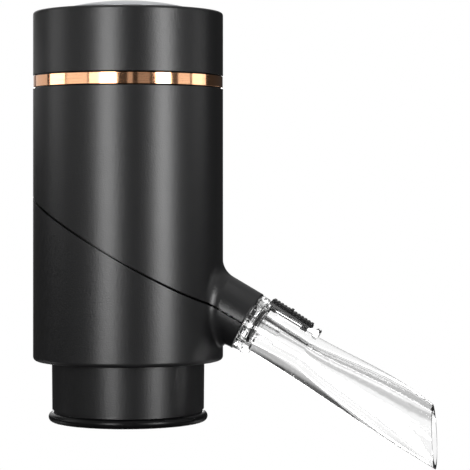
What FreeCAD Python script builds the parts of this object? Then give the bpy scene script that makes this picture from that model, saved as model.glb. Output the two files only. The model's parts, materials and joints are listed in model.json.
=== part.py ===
# Electric wine dispenser that sits on a bottle's neck: a small pump presses air into the bottle
# and the wine rises through the hub and leaves by the clear spout.
# Millimetres, +Z up. The origin is the centre of the bottle socket's rim.
# The spout points along +X and slopes down; its own pieces are drawn along a local X axis.
import FreeCAD, Part
import math
import os

V = FreeCAD.Vector
os.makedirs("parts", exist_ok=True)

# ---------------------------------------------------------------- driving dimensions
fit_gap = 0.05                 # push fit between pieces of one body
running_gap = 0.3              # between pieces that move past each other
slide_gap = 0.08               # radial clearance of a sliding fit
cut_margin = 1.0               # how far a cutting tool stands past the face it cuts
cutter_size = 300.0            # side of a cutting block that takes everything on one side of a plane

# body shells
body_diameter = 65.0
body_bottom = 20.4
body_wall = 2.2
floor_thickness = 2.2
foot_fillet = 1.4
rim_fillet = 0.2
shoulder_thickness = 1.95
neck_height = 7.2
neck_wall = 2.1
neck_radial_step = 3.1
seam_height = 58.07            # height of the seam plane on the body's axis
seam_angle = 30.0              # slope of the seam plane and of the spout
seam_gap = 0.75
lip_thickness = 1.3
lip_height = 2.0
lip_root = 2.5

# collar that carries the spout
collar_diameter = 21.1
collar_stand = 10.622          # how far its end stands out of the body, along the spout axis
collar_depth = 9.528           # how far it reaches into the body, along the spout axis
collar_bore_diameter = 16.4
collar_lip_fillet = 0.5
blend_top_radius = 8.0
blend_bottom_radius = 1.6
nozzle_groove_inset = 18.15    # from the collar's end back to the nozzle's groove
nozzle_groove_length = 2.0
nozzle_groove_depth = 1.0

# trim band, crown and button
band_height = 3.8
band_inset = 0.1
band_groove = 0.35
band_groove_depth = 0.7         # depth of the shadow lines above and below the band
crown_height = 21.65
crown_wall = 2.2
crown_top_thickness = 2.2
crown_fillet = 1.0
button_diameter = 42.0
button_rise = 3.9              # crest of the button above the crown
button_dome_radius = 90.0
button_edge_fillet = 0.5
button_skin = 2.0
button_skirt = 2.0
button_flange_width = 1.8
button_flange_thickness = 1.2
button_stroke = 1.2
button_stem_diameter = 6.0
button_seat_diameter = 13.0
guide_thickness = 1.6
guide_below_crown = 7.7        # top of the guide plate under the crown's top face
guide_ledge_height = 1.4
guide_ledge_width = 1.5
return_dome_base_diameter = 21.0
return_dome_wall = 0.9

# base: collar, ring, seal and hub
base_top_diameter = 52.2
base_taper = 0.3               # how much narrower the collar is at its lower edge
base_wall = 2.35
base_plate_thickness = 3.6
ring_stand = 1.25              # how far the ring stands out of the collar
ring_section = 3.3
ring_drop = 0.4                # how far the ring hangs below the socket's rim
ring_bite = 0.6                # depth of the ring's seat for the collar
ring_rebate = 0.5              # step in the collar's foot that leaves a shadow line over the ring
ring_rebate_height = 1.55
bottle_bore_diameter = 30.0
bottle_bore_depth = 14.0
seal_inner_wall = 2.5
seal_outer_wall = 2.5
seal_trough_roof = 3.5
hub_stem_diameter = 20.0
hub_flange_diameter = 32.0
hub_flange_thickness = 2.2
straw_bore_diameter = 6.2
straw_bore_depth = 10.0
wine_bore_diameter = 4.0
wine_barb_diameter = 5.1
wine_barb_height = 8.0
air_port_offset = 7.0
air_bore_diameter = 2.0
air_barb_diameter = 3.8
air_barb_height = 6.5
duckbill_diameter = 4.6
duckbill_length = 3.2
duckbill_flange = 1.4
duckbill_bore_diameter = 1.6
hub_screw_circle = 26.0
hub_screw_angles = (30, 150, 270)

# fasteners
screw_diameter = 2.0
screw_head_diameter = 3.8
screw_head_height = 1.4
screw_bite = 2.9

# chassis, cell and pump
deck_thickness = 2.2
deck_below_seam = 2.47         # underside of the lower deck under the seam's height on the axis
deck_margin = 0.4              # between a deck's edge and the seam lip
deck_post_inset = 3.1          # a standoff's centre inside the deck's edge
deck_post_angles = (60, 120, 240, 300)
deck_post_diameter = 4.0
deck_spigot_diameter = 2.4
deck_screw_inset = 3.6
deck_screw_angles = (30, 150, 210, 330)
deck_boss_diameter = 5.2
deck_boss_height = 5.0
shell_post_inset = 6.6
shell_post_angles = (90, 180, 270)
shell_post_diameter = 6.8
shell_post_web = 10.0          # length of the narrow bore at the top of a shell post
cell_diameter = 18.2
cell_length = 50.0
cell_edge_margin = 1.5         # between the cell's cup and the deck's edge
cell_pad_thickness = 1.2
cell_cup_height = 6.0
cell_cup_wall = 1.5
cell_terminal_diameter = 6.0
cell_terminal_height = 0.8
pump_edge_margin = 1.0         # between the pump and the deck's edge
pump_diameter = 26.0
pump_wall = 2.4
pump_cover_height = 4.0
pump_nozzle_length = 6.0
pump_nozzle_diameter = 3.8
valve_plate_thickness = 2.0
diaphragm_thickness = 1.6
diaphragm_cup_height = 2.1
diaphragm_cup_diameter = 7.4
diaphragm_cup_circle = 11.6
diaphragm_cup_wall = 0.8
cup_angles = (60, 180, 300)
valve_hole_diameter = 1.0
valve_hole_spread = 2.0
pump_screw_angles = (0, 120, 240)
pump_body_height = 12.0
pump_roof_thickness = 2.0
pump_screw_diameter = 1.5
pump_screw_head_diameter = 2.6
motor_diameter = 20.4
motor_length = 25.0
motor_wall = 0.8
motor_boss_diameter = 6.0
motor_boss_height = 1.5
motor_cap_thickness = 2.0
motor_shaft_diameter = 2.0
armature_diameter = 13.2
armature_inset = 3.6
armature_slot_width = 1.6
armature_slot_depth = 3.0
armature_slot_angles = (0, 120, 240)
magnet_thickness = 1.8
magnet_end_inset = 2.6
magnet_gap_width = 3.0
wheel_diameter = 10.0
wheel_height = 3.4
wheel_clearance = 0.4
wobble_angle = 5.0
wobble_centre_below_plate = 6.6
swing_plate_thickness = 1.5
swing_plate_height = 4.2       # middle of the swing plate above the diaphragm's clamped rim
swing_arm_reach = 9.2
swing_arm_width = 4.0
swing_hub_diameter = 6.0
drive_pin_diameter = 1.6
drive_pin_tail = 1.3
motor_screw_circle = 14.0
motor_screw_angles = (90, 270)
motor_screw_diameter = 1.4
motor_screw_head_diameter = 2.4
motor_screw_head_height = 1.0

# tubes inside
wine_tube_bore = 5.2
wine_tube_diameter = 7.4
wine_bend_radius = 9.5
hose_bore = 3.9
hose_diameter = 5.0
hose_bend_radius = 9.0
hose_middle = 7.1              # height over which the hose crosses from nozzle to barb

# outlet nozzle under the spout
nozzle_diameter = 6.2
nozzle_bore_diameter = 4.0
nozzle_stand = 11.35           # how far the nozzle stands out of the collar's end
nozzle_barb_length = 7.0
nozzle_head_diameter = 12.0
nozzle_head_length = 2.6
o_ring_section = 1.3
o_ring_squeeze = 0.2           # how far the ring stands out of the head
o_ring_stand = 3.35            # from the collar's end to the middle of the ring

# clear spout, along its own axis
spigot_length = 9.9
spout_bore_diameter = 7.5
spout_socket_clearance = 0.1   # radial, between the nozzle's ring and its socket in the spout
spout_bore_straight = 2.0      # length of the straight bore past the flange
spout_throat_diameter = 6.2
flange_start_gap = 0.25
flange_length = 2.6
flange_diameter = 20.4
flange_notch_count = 12
flange_notch_width = 2.7
flange_notch_length = 1.1
flange_notch_depth = 1.3
root_half_height = 8.15
mouth_stand = 69.9             # from the flange to the mouth, along the axis
mouth_angle = 32.7
lug_length = 2.5
lug_depth = 4.8
lug_width = 5.0
lug_stand = 1.55
lug_fillet = 1.1
spigot_seal_section = 1.0
spigot_seal_inset = 5.9        # from the flange's rear back to the middle of the seal
# sections of the flared spout: distance from the flange, half height, half width, drop of its centre, wall
spout_sections = [
    (19.0, 8.05, 8.05, 0.35, 4.95),
    (35.0, 8.80, 8.95, 0.30, 4.10),
    (51.0, 9.45, 9.80, 0.35, 3.20),
    (65.0, 9.00, 10.10, 1.00, 1.80),
    (77.5, 8.55, 10.30, 1.65, 1.30),
]

# rail on the spout and the vent slider that rides on it
rail_width = 6.8
rail_height = 9.1              # top of the rail off the spout's axis
rail_foot = 5.5
rail_stop_length = 1.5
rail_stop_height = 0.9
rail_draft = 14.0              # lean of the rail's sides, in degrees
channel_start = 1.2
channel_neck_width = 2.6
channel_neck_height = 0.9
channel_width = 4.2
channel_height = 1.2
slider_start = 0.8
slider_length = 16.2
slider_width = 6.4
slider_rear_thickness = 1.8
slider_front_thickness = 1.2
slider_foot_length = 2.2
slider_foot_inset = 0.7
slider_rear_foot_lead = 10.1
slider_runner_thickness = 0.4
slider_travel = 1.5
slider_rib_count = 12
slider_rib_height = 0.3
slider_rib_width = 0.6
slider_tall_rib = 5
slider_tall_rib_height = 0.8

# electronics in the crown
board_margin = 1.8             # between the board's edge and the crown's wall
board_thickness = 1.6
board_height_over_body = 8.85
board_pillar_circle = 40.0
board_pillar_angles = (0, 90, 270)
board_pillar_diameter = 4.4
switch_side = 6.0
switch_height = 3.6
plunger_diameter = 3.4
plunger_stand = 1.6
plunger_length = 1.9
socket_width = 9.0
socket_height = 3.2
socket_depth = 7.3
socket_wall = 0.45
socket_back_wall = 0.9
socket_corner = 1.28
socket_tongue_width = 6.6
socket_tongue_thickness = 0.7
socket_tongue_length = 4.5
port_margin = 0.4
port_corner = 1.0

# ---------------------------------------------------------------- values worked out from them
body_radius = body_diameter / 2
cavity_radius = body_radius - body_wall
cavity_floor = body_bottom + floor_thickness
lower_deck_bottom = seam_height - deck_below_seam
lower_deck_top = lower_deck_bottom + deck_thickness
upper_deck_bottom = lower_deck_top + cell_length + cell_pad_thickness
shoulder_under = upper_deck_bottom + deck_thickness
body_top = shoulder_under + shoulder_thickness
neck_radius = body_radius - neck_radial_step
neck_inner_radius = neck_radius - neck_wall
neck_top = body_top + neck_height
band_bottom = body_top + band_groove
band_top = band_bottom + band_height
crown_bottom = band_top + band_groove
crown_top = crown_bottom + crown_height
crown_under = crown_top - crown_top_thickness
crown_inner_radius = body_radius - crown_wall
button_radius = button_diameter / 2
button_crest = crown_top + button_rise
guide_top = crown_top - guide_below_crown
guide_bottom = guide_top - guide_thickness

wall_reach = body_radius / math.cos(math.radians(seam_angle))    # where the spout axis leaves the body
collar_reach = wall_reach + collar_stand
collar_root = wall_reach - collar_depth
collar_bore_radius = collar_bore_diameter / 2
nozzle_groove_start = collar_reach - nozzle_groove_inset
nozzle_groove_end = nozzle_groove_start + nozzle_groove_length
nozzle_groove_diameter = collar_bore_diameter + 2 * nozzle_groove_depth
nozzle_reach = collar_reach + nozzle_stand
o_ring_position = collar_reach + o_ring_stand
o_ring_diameter = nozzle_head_diameter + 2 * o_ring_squeeze
o_ring_bore = o_ring_diameter - 2 * o_ring_section
nozzle_head_end = o_ring_position + nozzle_head_length / 2
spout_socket_diameter = o_ring_diameter + 2 * spout_socket_clearance
spout_socket_end = nozzle_head_end + running_gap
base_bottom_diameter = base_top_diameter - base_taper
ring_diameter = base_bottom_diameter + 2 * ring_stand
base_plate_bottom = body_bottom - base_plate_thickness
base_edge = ring_section - ring_drop - ring_bite
base_inner_radius = base_top_diameter / 2 - base_wall
stem_radius = hub_stem_diameter / 2
hub_flange_top = cavity_floor + hub_flange_thickness
wine_barb_top = hub_flange_top + wine_barb_height
air_barb_top = hub_flange_top + air_barb_height

deck_diameter = 2 * (cavity_radius - lip_thickness - deck_margin)
deck_post_circle = deck_diameter - 2 * deck_post_inset
deck_screw_circle = deck_diameter - 2 * deck_screw_inset
shell_post_circle = deck_diameter - 2 * shell_post_inset
cell_cup_bore = cell_diameter + 2 * fit_gap
cell_cup_diameter = cell_cup_bore + 2 * cell_cup_wall
cell_offset = (deck_diameter - cell_cup_diameter) / 2 - cell_edge_margin
pump_offset = pump_edge_margin - (deck_diameter - pump_diameter) / 2
pump_cover_top = lower_deck_top + pump_cover_height
valve_plate_top = pump_cover_top + valve_plate_thickness
diaphragm_top = valve_plate_top + diaphragm_thickness
pump_body_top = diaphragm_top + pump_body_height
pump_roof_under = pump_body_top - pump_roof_thickness
pump_inner_radius = pump_diameter / 2 - pump_wall
pump_screw_radius = pump_diameter / 2 - pump_wall / 2
motor_top = pump_body_top + motor_length
swing_plate_middle = diaphragm_top + swing_plate_height
wobble_centre = V(pump_offset, 0, swing_plate_middle - wobble_centre_below_plate)
wheel_top = pump_roof_under - wheel_clearance
wheel_bottom = wheel_top - wheel_height

board_diameter = 2 * (crown_inner_radius - board_margin)
board_bottom = body_top + board_height_over_body
board_top = board_bottom + board_thickness
switch_top = board_top + switch_height
plunger_top = switch_top + plunger_stand

flange_start = collar_reach + flange_start_gap
flange_end = flange_start + flange_length
spigot_radius = collar_bore_radius - slide_gap
spigot_start = flange_start - spigot_length
spigot_seal_position = flange_start - spigot_seal_inset
spout_bore_straight_end = flange_end + spout_bore_straight
mouth_reach = flange_end + mouth_stand
rail_start = flange_end
slider_rear = rail_start + slider_start
slider_front = slider_rear + slider_length
rail_end = slider_front + slider_travel + running_gap + rail_stop_length
slider_under = rail_height + fit_gap


# ---------------------------------------------------------------- shapes
def rod(diameter, low, high, x=0.0, y=0.0):
    """Upright cylinder."""
    return Part.makeCylinder(diameter / 2, high - low, V(x, y, low))


def pipe(outer, inner, low, high, x=0.0, y=0.0):
    """Upright tube."""
    hole = rod(inner, low - cut_margin, high + cut_margin, x, y)
    return rod(outer, low, high, x, y).cut(hole)


def rod_along(diameter, start, end, off=0.0):
    """Cylinder along the local X axis of the spout."""
    return Part.makeCylinder(diameter / 2, end - start, V(start, 0, off), V(1, 0, 0))


def block(low, high):
    """Box from its lowest to its highest corner."""
    return Part.makeBox(high[0] - low[0], high[1] - low[1], high[2] - low[2], V(*low))


def lathe(points):
    """Solid of revolution about Z of a closed outline in the XZ plane."""
    corners = [V(r, 0, z) for r, z in points]
    face = Part.Face(Part.makePolygon(corners + corners[:1]))
    return face.revolve(V(0, 0, 0), V(0, 0, 1), 360)


def on_circle(diameter, degrees, x=0.0):
    """Centre of a feature on a circle about (x, 0)."""
    angle = math.radians(degrees)
    return x + diameter / 2 * math.cos(angle), diameter / 2 * math.sin(angle)


def fuse_all(shapes):
    """One solid from touching shapes."""
    return shapes[0].multiFuse(shapes[1:]).removeSplitter()


def in_spout_frame(shape):
    """Place a shape drawn along local X onto the sloping spout axis."""
    placed = shape.copy()
    placed.Placement = FreeCAD.Placement(
        V(0, 0, seam_height), FreeCAD.Rotation(V(0, 1, 0), seam_angle)).multiply(placed.Placement)
    return placed


def round_edges(shape, radius, chosen):
    """Round the edges that the test picks."""
    return shape.makeFillet(radius, [edge for edge in shape.Edges if chosen(edge)])


def is_circle_at(edge, height, radius, tolerance=0.01):
    """True for a horizontal circle of this height and radius."""
    if edge.Degenerated:
        return False
    curve = edge.Curve
    if not isinstance(curve, Part.Circle):
        return False
    level = abs(curve.Center.z - height) < tolerance and abs(abs(curve.Axis.z) - 1) < tolerance
    return level and abs(curve.Radius - radius) < tolerance


def save(node, *solids):
    """Write one sub-part."""
    shape = solids[0] if len(solids) == 1 else Part.makeCompound(list(solids))
    shape.exportStep("parts/" + node + ".step")


def screw(low, high, x, y, head_up=True, sizes=(screw_diameter, screw_head_diameter, screw_head_height)):
    """Cap screw standing on end; low and high are the ends of its shank."""
    diameter, head_diameter, head_height = sizes
    shank = rod(diameter, low, high, x, y)
    if head_up:
        head = rod(head_diameter, high, high + head_height, x, y)
    else:
        head = rod(head_diameter, low - head_height, low, x, y)
    return fuse_all([shank, head])


def screws(places, low, high, head_up=True):
    """One body screw at each place."""
    return [screw(low, high, x, y, head_up) for x, y in places]


# ---------------------------------------------------------------- body shells
def half_space(above):
    """Everything on one side of the sloping seam, half a gap away from it."""
    half = cutter_size / 2
    low = seam_gap / 2 if above else -seam_gap / 2 - cutter_size
    return in_spout_frame(block((-half, -half, low), (half, half, low + cutter_size)))


def outer_form():
    """Body cylinder with the spout collar grown out of it in a wide soft blend."""
    body = rod(body_diameter, body_bottom, body_top)
    body = round_edges(body, foot_fillet, lambda e: is_circle_at(e, body_bottom, body_radius))
    body = round_edges(body, rim_fillet, lambda e: is_circle_at(e, body_top, body_radius))
    collar = rod_along(collar_diameter, 0, collar_reach)
    collar = round_edges(collar, collar_lip_fillet, lambda e: e.BoundBox.XMin > collar_reach - fit_gap)
    return body.fuse(in_spout_frame(collar))


def blended_form():
    """Outer form with the collar's root rounded, wide on top and tight underneath."""
    joined = outer_form()
    document = FreeCAD.newDocument("blend")
    base = document.addObject("Part::Feature", "form")
    base.Shape = joined
    radii = []
    for number, edge in enumerate(joined.Edges, start=1):
        if isinstance(edge.Curve, (Part.Circle, Part.Line)):
            continue
        starts_on_top = edge.valueAt(edge.FirstParameter).z > edge.valueAt(edge.LastParameter).z
        if starts_on_top:
            radii.append((number, blend_top_radius, blend_bottom_radius))
        else:
            radii.append((number, blend_bottom_radius, blend_top_radius))
    blend = document.addObject("Part::Fillet", "blend")
    blend.Base = base
    blend.Edges = radii
    document.recompute()
    shape = blend.Shape.copy()
    FreeCAD.closeDocument(document.Name)
    return shape


def collar_core(extra=0.0):
    """The collar's own cylinder through the cavity, drawn larger by extra on the radius."""
    core = rod_along(collar_diameter + 2 * extra, collar_root - extra, collar_reach + cut_margin)
    return in_spout_frame(core)


def hollow_form():
    """Both body shells in one, before the seam parts them."""
    cavity = rod(2 * cavity_radius, cavity_floor, shoulder_under).cut(collar_core())
    bore = rod_along(collar_bore_diameter, collar_root - cut_margin, collar_reach + cut_margin)
    groove = in_spout_frame(rod_along(nozzle_groove_diameter, nozzle_groove_start, nozzle_groove_end))
    crown_opening = rod(2 * neck_inner_radius, shoulder_under - cut_margin, body_top + cut_margin)
    neck = pipe(2 * neck_radius, 2 * neck_inner_radius, body_top - rim_fillet, neck_top)
    return blended_form().cut(cavity).cut(in_spout_frame(bore)).cut(groove).cut(crown_opening).fuse(neck)


def deck_screw_places():
    """Centres of the four screws that hang the chassis from the shoulder."""
    return [on_circle(deck_screw_circle, angle) for angle in deck_screw_angles]


def shell_post_places():
    """Centres of the three posts of the lower shell, clear of the collar."""
    return [on_circle(shell_post_circle, angle) for angle in shell_post_angles]


def hub_screw_places():
    """Centres of the three screws that clamp hub, floor and base collar."""
    return [on_circle(hub_screw_circle, angle) for angle in hub_screw_angles]


def upper_shell(form):
    """Upper body shell with the neck for band and crown and four bosses inside the neck."""
    shell = form.common(half_space(True))
    boss_top = shoulder_under + deck_boss_height
    for x, y in deck_screw_places():
        boss = rod(deck_boss_diameter, shoulder_under, boss_top, x, y)
        hole = rod(screw_diameter, shoulder_under - cut_margin, shoulder_under + screw_bite, x, y)
        shell = shell.fuse(boss).cut(hole)
    return shell.removeSplitter()


def seam_lip():
    """Thin lip inside the seam that stands up from the lower shell into the upper one."""
    lip_outer = cavity_radius - fit_gap
    ring = pipe(2 * lip_outer, 2 * (lip_outer - lip_thickness), cavity_floor, body_top)
    root = pipe(2 * cavity_radius, 2 * (lip_outer - lip_thickness), cavity_floor, body_top)
    half = cutter_size / 2
    above = in_spout_frame(block((-half, -half, -lip_root), (half, half, lip_height)))
    below = in_spout_frame(block((-half, -half, -lip_root), (half, half, -seam_gap / 2)))
    lip = ring.common(above).fuse(root.common(below))
    return lip.cut(collar_core(running_gap))


def lower_shell(form):
    """Lower body shell with its floor, seam lip and three screw posts."""
    shell = form.common(half_space(False)).fuse(seam_lip())
    through_floor = (body_bottom - cut_margin, cavity_floor + cut_margin)
    shell = shell.cut(rod(hub_stem_diameter + 2 * fit_gap, *through_floor))
    web_bottom = lower_deck_bottom - shell_post_web
    for x, y in shell_post_places():
        post = rod(shell_post_diameter, cavity_floor - floor_thickness / 2, lower_deck_bottom, x, y)
        access_diameter = screw_head_diameter + 2 * running_gap
        access = rod(access_diameter, body_bottom - cut_margin, web_bottom, x, y)
        hole = rod(screw_diameter, web_bottom - cut_margin, lower_deck_bottom + cut_margin, x, y)
        shell = shell.fuse(post).cut(access).cut(hole)
    for x, y in hub_screw_places():
        shell = shell.cut(rod(screw_diameter, *through_floor, x, y))
    return shell.removeSplitter()


# ---------------------------------------------------------------- band, crown and button
def trim_band():
    """Metal ring, a little inside body and crown, on a step that spaces them and backs the shadow lines."""
    bore = 2 * (neck_radius + fit_gap)
    band = pipe(body_diameter - 2 * band_inset, bore, band_bottom, band_top)
    step = pipe(body_diameter - 2 * band_groove_depth, bore, body_top + fit_gap, crown_bottom - fit_gap)
    outer_radius = body_radius - band_inset

    def outer_rim(edge):
        return is_circle_at(edge, band_bottom, outer_radius) or is_circle_at(edge, band_top, outer_radius)

    return fuse_all([round_edges(band, rim_fillet / 2, outer_rim), step])


def charge_port_level():
    """Height of the middle of the charging socket."""
    return board_top + socket_height / 2


def crown_cap():
    """Cap over the neck with the button's hole, the guide's ledge and the charging slot."""
    cap = rod(body_diameter, crown_bottom, crown_top)
    cap = round_edges(cap, crown_fillet, lambda e: is_circle_at(e, crown_top, body_radius))
    cap = round_edges(cap, rim_fillet, lambda e: is_circle_at(e, crown_bottom, body_radius))
    socket_for_neck = rod(2 * (neck_radius + fit_gap), crown_bottom - cut_margin, neck_top + fit_gap)
    room = rod(2 * crown_inner_radius, neck_top, crown_under)
    ledge = pipe(2 * crown_inner_radius, 2 * (crown_inner_radius - guide_ledge_width),
                 guide_top, guide_top + guide_ledge_height)
    button_hole = rod(button_diameter + 2 * running_gap, crown_under - cut_margin, crown_top + cut_margin)
    slot_half_width = socket_width / 2 + port_margin
    slot_half_height = socket_height / 2 + port_margin
    slot = block((-body_radius - cut_margin, -slot_half_width, charge_port_level() - slot_half_height),
                 (-cavity_radius + cut_margin, slot_half_width, charge_port_level() + slot_half_height))
    slot = round_edges(slot, port_corner, lambda e: e.BoundBox.XLength > body_wall)
    return cap.cut(socket_for_neck).cut(room).fuse(ledge).cut(button_hole).cut(slot).removeSplitter()


def press_button():
    """Shallow dome on a skirt, with a stop flange under the crown and a central stem."""
    ball = Part.makeSphere(button_dome_radius, V(0, 0, button_crest - button_dome_radius))
    flange_top = crown_under - fit_gap
    flange_bottom = flange_top - button_flange_thickness
    dome = rod(button_diameter, flange_bottom, button_crest + cut_margin).common(ball)
    rim_level = button_crest - button_dome_radius + math.sqrt(button_dome_radius ** 2 - button_radius ** 2)
    dome = round_edges(dome, button_edge_fillet, lambda e: is_circle_at(e, rim_level, button_radius))
    hollow_top = crown_top - fit_gap
    hollow = rod(button_diameter - 2 * button_skirt, flange_bottom - cut_margin, hollow_top)
    flange_diameter_out = button_diameter + 2 * button_flange_width
    flange = pipe(flange_diameter_out, button_diameter - 2 * button_skirt, flange_bottom, flange_top)
    stem = rod(button_stem_diameter, plunger_top + fit_gap, hollow_top)
    seat = rod(button_seat_diameter, hollow_top - button_skin, hollow_top)
    return fuse_all([dome.cut(hollow), flange, seat, stem])


def button_guide():
    """Plate in the crown with the bush for the button's stem."""
    bush = button_stem_diameter + 2 * slide_gap
    return pipe(2 * (crown_inner_radius - fit_gap), bush, guide_bottom, guide_top)


def button_return_dome():
    """Rubber cone that pushes the button back up."""
    seat_under = crown_top - fit_gap - button_skin
    base = return_dome_base_diameter / 2
    top = button_seat_diameter / 2
    wall = return_dome_wall
    return lathe([(base - wall, guide_top), (base, guide_top), (top, seat_under), (top - wall, seat_under)])


# ---------------------------------------------------------------- base
def base_collar():
    """Round socket under the body with a plate across its top."""
    top_radius = base_top_diameter / 2
    bottom_radius = base_bottom_diameter / 2
    collar = lathe([
        (stem_radius + fit_gap, base_plate_bottom),
        (base_inner_radius, base_plate_bottom),
        (base_inner_radius, base_edge),
        (bottom_radius - ring_rebate, base_edge),
        (bottom_radius - ring_rebate, base_edge + ring_rebate_height),
        (bottom_radius, base_edge + ring_rebate_height),
        (top_radius, body_bottom),
        (stem_radius + fit_gap, body_bottom),
    ])
    for x, y in hub_screw_places():
        collar = collar.cut(rod(screw_diameter, body_bottom - screw_bite, body_bottom + cut_margin, x, y))
    return collar


def base_ring():
    """Rubber ring round the collar's lower edge."""
    section = ring_section / 2
    ring = Part.makeTorus(ring_diameter / 2 - section, section, V(0, 0, section - ring_drop))
    seat_outer = base_bottom_diameter - 2 * ring_rebate + 2 * fit_gap
    seat_inner = 2 * (base_inner_radius - cut_margin)
    return ring.cut(pipe(seat_outer, seat_inner, base_edge, ring_section + cut_margin))


def neck_seal():
    """Soft seal that grips the bottle's lip; an open trough lets its inner wall give."""
    outer = base_inner_radius - 2 * fit_gap
    bore = bottle_bore_diameter / 2
    trough_in = bore + seal_inner_wall
    trough_out = outer - seal_outer_wall
    trough_top = base_plate_bottom - seal_trough_roof
    web_hole = stem_radius + fit_gap
    return lathe([
        (bore, 0), (trough_in, 0), (trough_in, trough_top), (trough_out, trough_top), (trough_out, 0),
        (outer, 0), (outer, base_plate_bottom), (web_hole, base_plate_bottom),
        (web_hole, bottle_bore_depth), (bore, bottle_bore_depth),
    ])


def bottle_hub():
    """Fitting in the middle of the base: straw socket below, wine and air barbs above."""
    stem = rod(hub_stem_diameter, bottle_bore_depth, hub_flange_top)
    flange = rod(hub_flange_diameter, cavity_floor, hub_flange_top)
    wine_barb = rod(wine_barb_diameter, hub_flange_top, wine_barb_top)
    air_barb = rod(air_barb_diameter, hub_flange_top, air_barb_top, -air_port_offset)
    hub = fuse_all([stem, flange, wine_barb, air_barb])
    straw = rod(straw_bore_diameter, bottle_bore_depth - cut_margin, bottle_bore_depth + straw_bore_depth)
    wine = rod(wine_bore_diameter, bottle_bore_depth, wine_barb_top + cut_margin)
    valve_room = rod(duckbill_diameter, bottle_bore_depth - cut_margin, bottle_bore_depth + duckbill_length,
                     -air_port_offset)
    air = rod(air_bore_diameter, bottle_bore_depth, air_barb_top + cut_margin, -air_port_offset)
    hub = hub.cut(straw).cut(wine).cut(valve_room).cut(air)
    for x, y in hub_screw_places():
        hub = hub.cut(rod(screw_diameter, cavity_floor - cut_margin, hub_flange_top + cut_margin, x, y))
    return hub


def air_duckbill():
    """Rubber non-return valve in the hub's air port, its lips pointing into the bottle."""
    radius = duckbill_diameter / 2 - fit_gap
    bore = duckbill_bore_diameter / 2
    top = bottle_bore_depth + duckbill_length
    rim = top - duckbill_flange
    valve = lathe([(bore, top), (radius, top), (radius, rim), (bore + fit_gap, bottle_bore_depth),
                   (bore, bottle_bore_depth)])
    valve.translate(V(-air_port_offset, 0, 0))
    return valve


# ---------------------------------------------------------------- chassis and cell
def deck_post_places():
    """Centres of the four standoffs between the decks."""
    return [on_circle(deck_post_circle, angle) for angle in deck_post_angles]


def pump_screw_places():
    """Centres of the three long screws through the pump."""
    return [on_circle(2 * pump_screw_radius, angle, pump_offset) for angle in pump_screw_angles]


def lower_deck():
    """Plate that carries the cell and the pump, with a cup for the cell."""
    plate = rod(deck_diameter, lower_deck_bottom, lower_deck_top)
    cup_top = lower_deck_top + cell_cup_height
    deck = plate.fuse(pipe(cell_cup_diameter, cell_cup_bore, lower_deck_top, cup_top, cell_offset))
    holes = [(screw_diameter, place) for place in shell_post_places()]
    holes += [(deck_spigot_diameter, place) for place in deck_post_places()]
    holes += [(pump_screw_diameter, place) for place in pump_screw_places()]
    holes.append((pump_nozzle_diameter + 2 * running_gap, (pump_offset, 0)))
    for diameter, (x, y) in holes:
        deck = deck.cut(rod(diameter, lower_deck_bottom - cut_margin, lower_deck_top + cut_margin, x, y))
    return deck


def board_pillar_places():
    """Centres of the three pillars of the main board."""
    return [on_circle(board_pillar_circle, angle) for angle in board_pillar_angles]


def upper_deck():
    """Plate under the shoulder with the pillars of the main board."""
    deck = rod(deck_diameter, upper_deck_bottom, shoulder_under)
    for x, y in board_pillar_places():
        deck = deck.fuse(rod(board_pillar_diameter, shoulder_under, board_bottom, x, y))
        deck = deck.cut(rod(screw_diameter, board_bottom - screw_bite, board_bottom + cut_margin, x, y))
    through_deck = (upper_deck_bottom - cut_margin, shoulder_under + cut_margin)
    for x, y in deck_post_places():
        deck = deck.cut(rod(deck_spigot_diameter, *through_deck, x, y))
    for x, y in deck_screw_places():
        deck = deck.cut(rod(screw_diameter, *through_deck, x, y))
    return deck


def deck_posts():
    """Metal standoffs with a spigot at each end."""
    posts = []
    for x, y in deck_post_places():
        shank = rod(deck_post_diameter, lower_deck_top, upper_deck_bottom, x, y)
        spigot = rod(deck_spigot_diameter, lower_deck_bottom, shoulder_under, x, y)
        posts.append(fuse_all([shank, spigot]))
    return posts


def lithium_cell():
    """Rechargeable cell standing in the lower deck's cup."""
    top = lower_deck_top + cell_length
    can = rod(cell_diameter, lower_deck_top, top - cell_terminal_height, cell_offset)
    terminal = rod(cell_terminal_diameter, top - cell_terminal_height, top, cell_offset)
    return fuse_all([can, terminal])


def cell_pad():
    """Soft pad between the cell and the upper deck."""
    return rod(cell_diameter, upper_deck_bottom - cell_pad_thickness, upper_deck_bottom, cell_offset)


# ---------------------------------------------------------------- pump
def pump_screw_top():
    """Upper end of the long pump screws, inside the pump body's wall."""
    return diaphragm_top + screw_bite + pump_roof_thickness


def drill_pump(shape):
    """Holes for the three long screws."""
    for x, y in pump_screw_places():
        shape = shape.cut(rod(pump_screw_diameter, lower_deck_bottom, pump_screw_top(), x, y))
    return shape


def pump_screws():
    """Long screws from under the lower deck that hold the pump together and to the deck."""
    sizes = (pump_screw_diameter, pump_screw_head_diameter, screw_head_height)
    top = pump_screw_top()
    return [screw(lower_deck_bottom, top, x, y, False, sizes) for x, y in pump_screw_places()]


def pump_cover():
    """Bottom of the pump with its air nozzle."""
    cover = rod(pump_diameter, lower_deck_top, pump_cover_top, pump_offset)
    tip = lower_deck_top - pump_nozzle_length
    nozzle = rod(pump_nozzle_diameter, tip, lower_deck_top, pump_offset)
    passage = rod(air_bore_diameter, tip - cut_margin, pump_cover_top + cut_margin, pump_offset)
    return drill_pump(fuse_all([cover, nozzle]).cut(passage))


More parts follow.
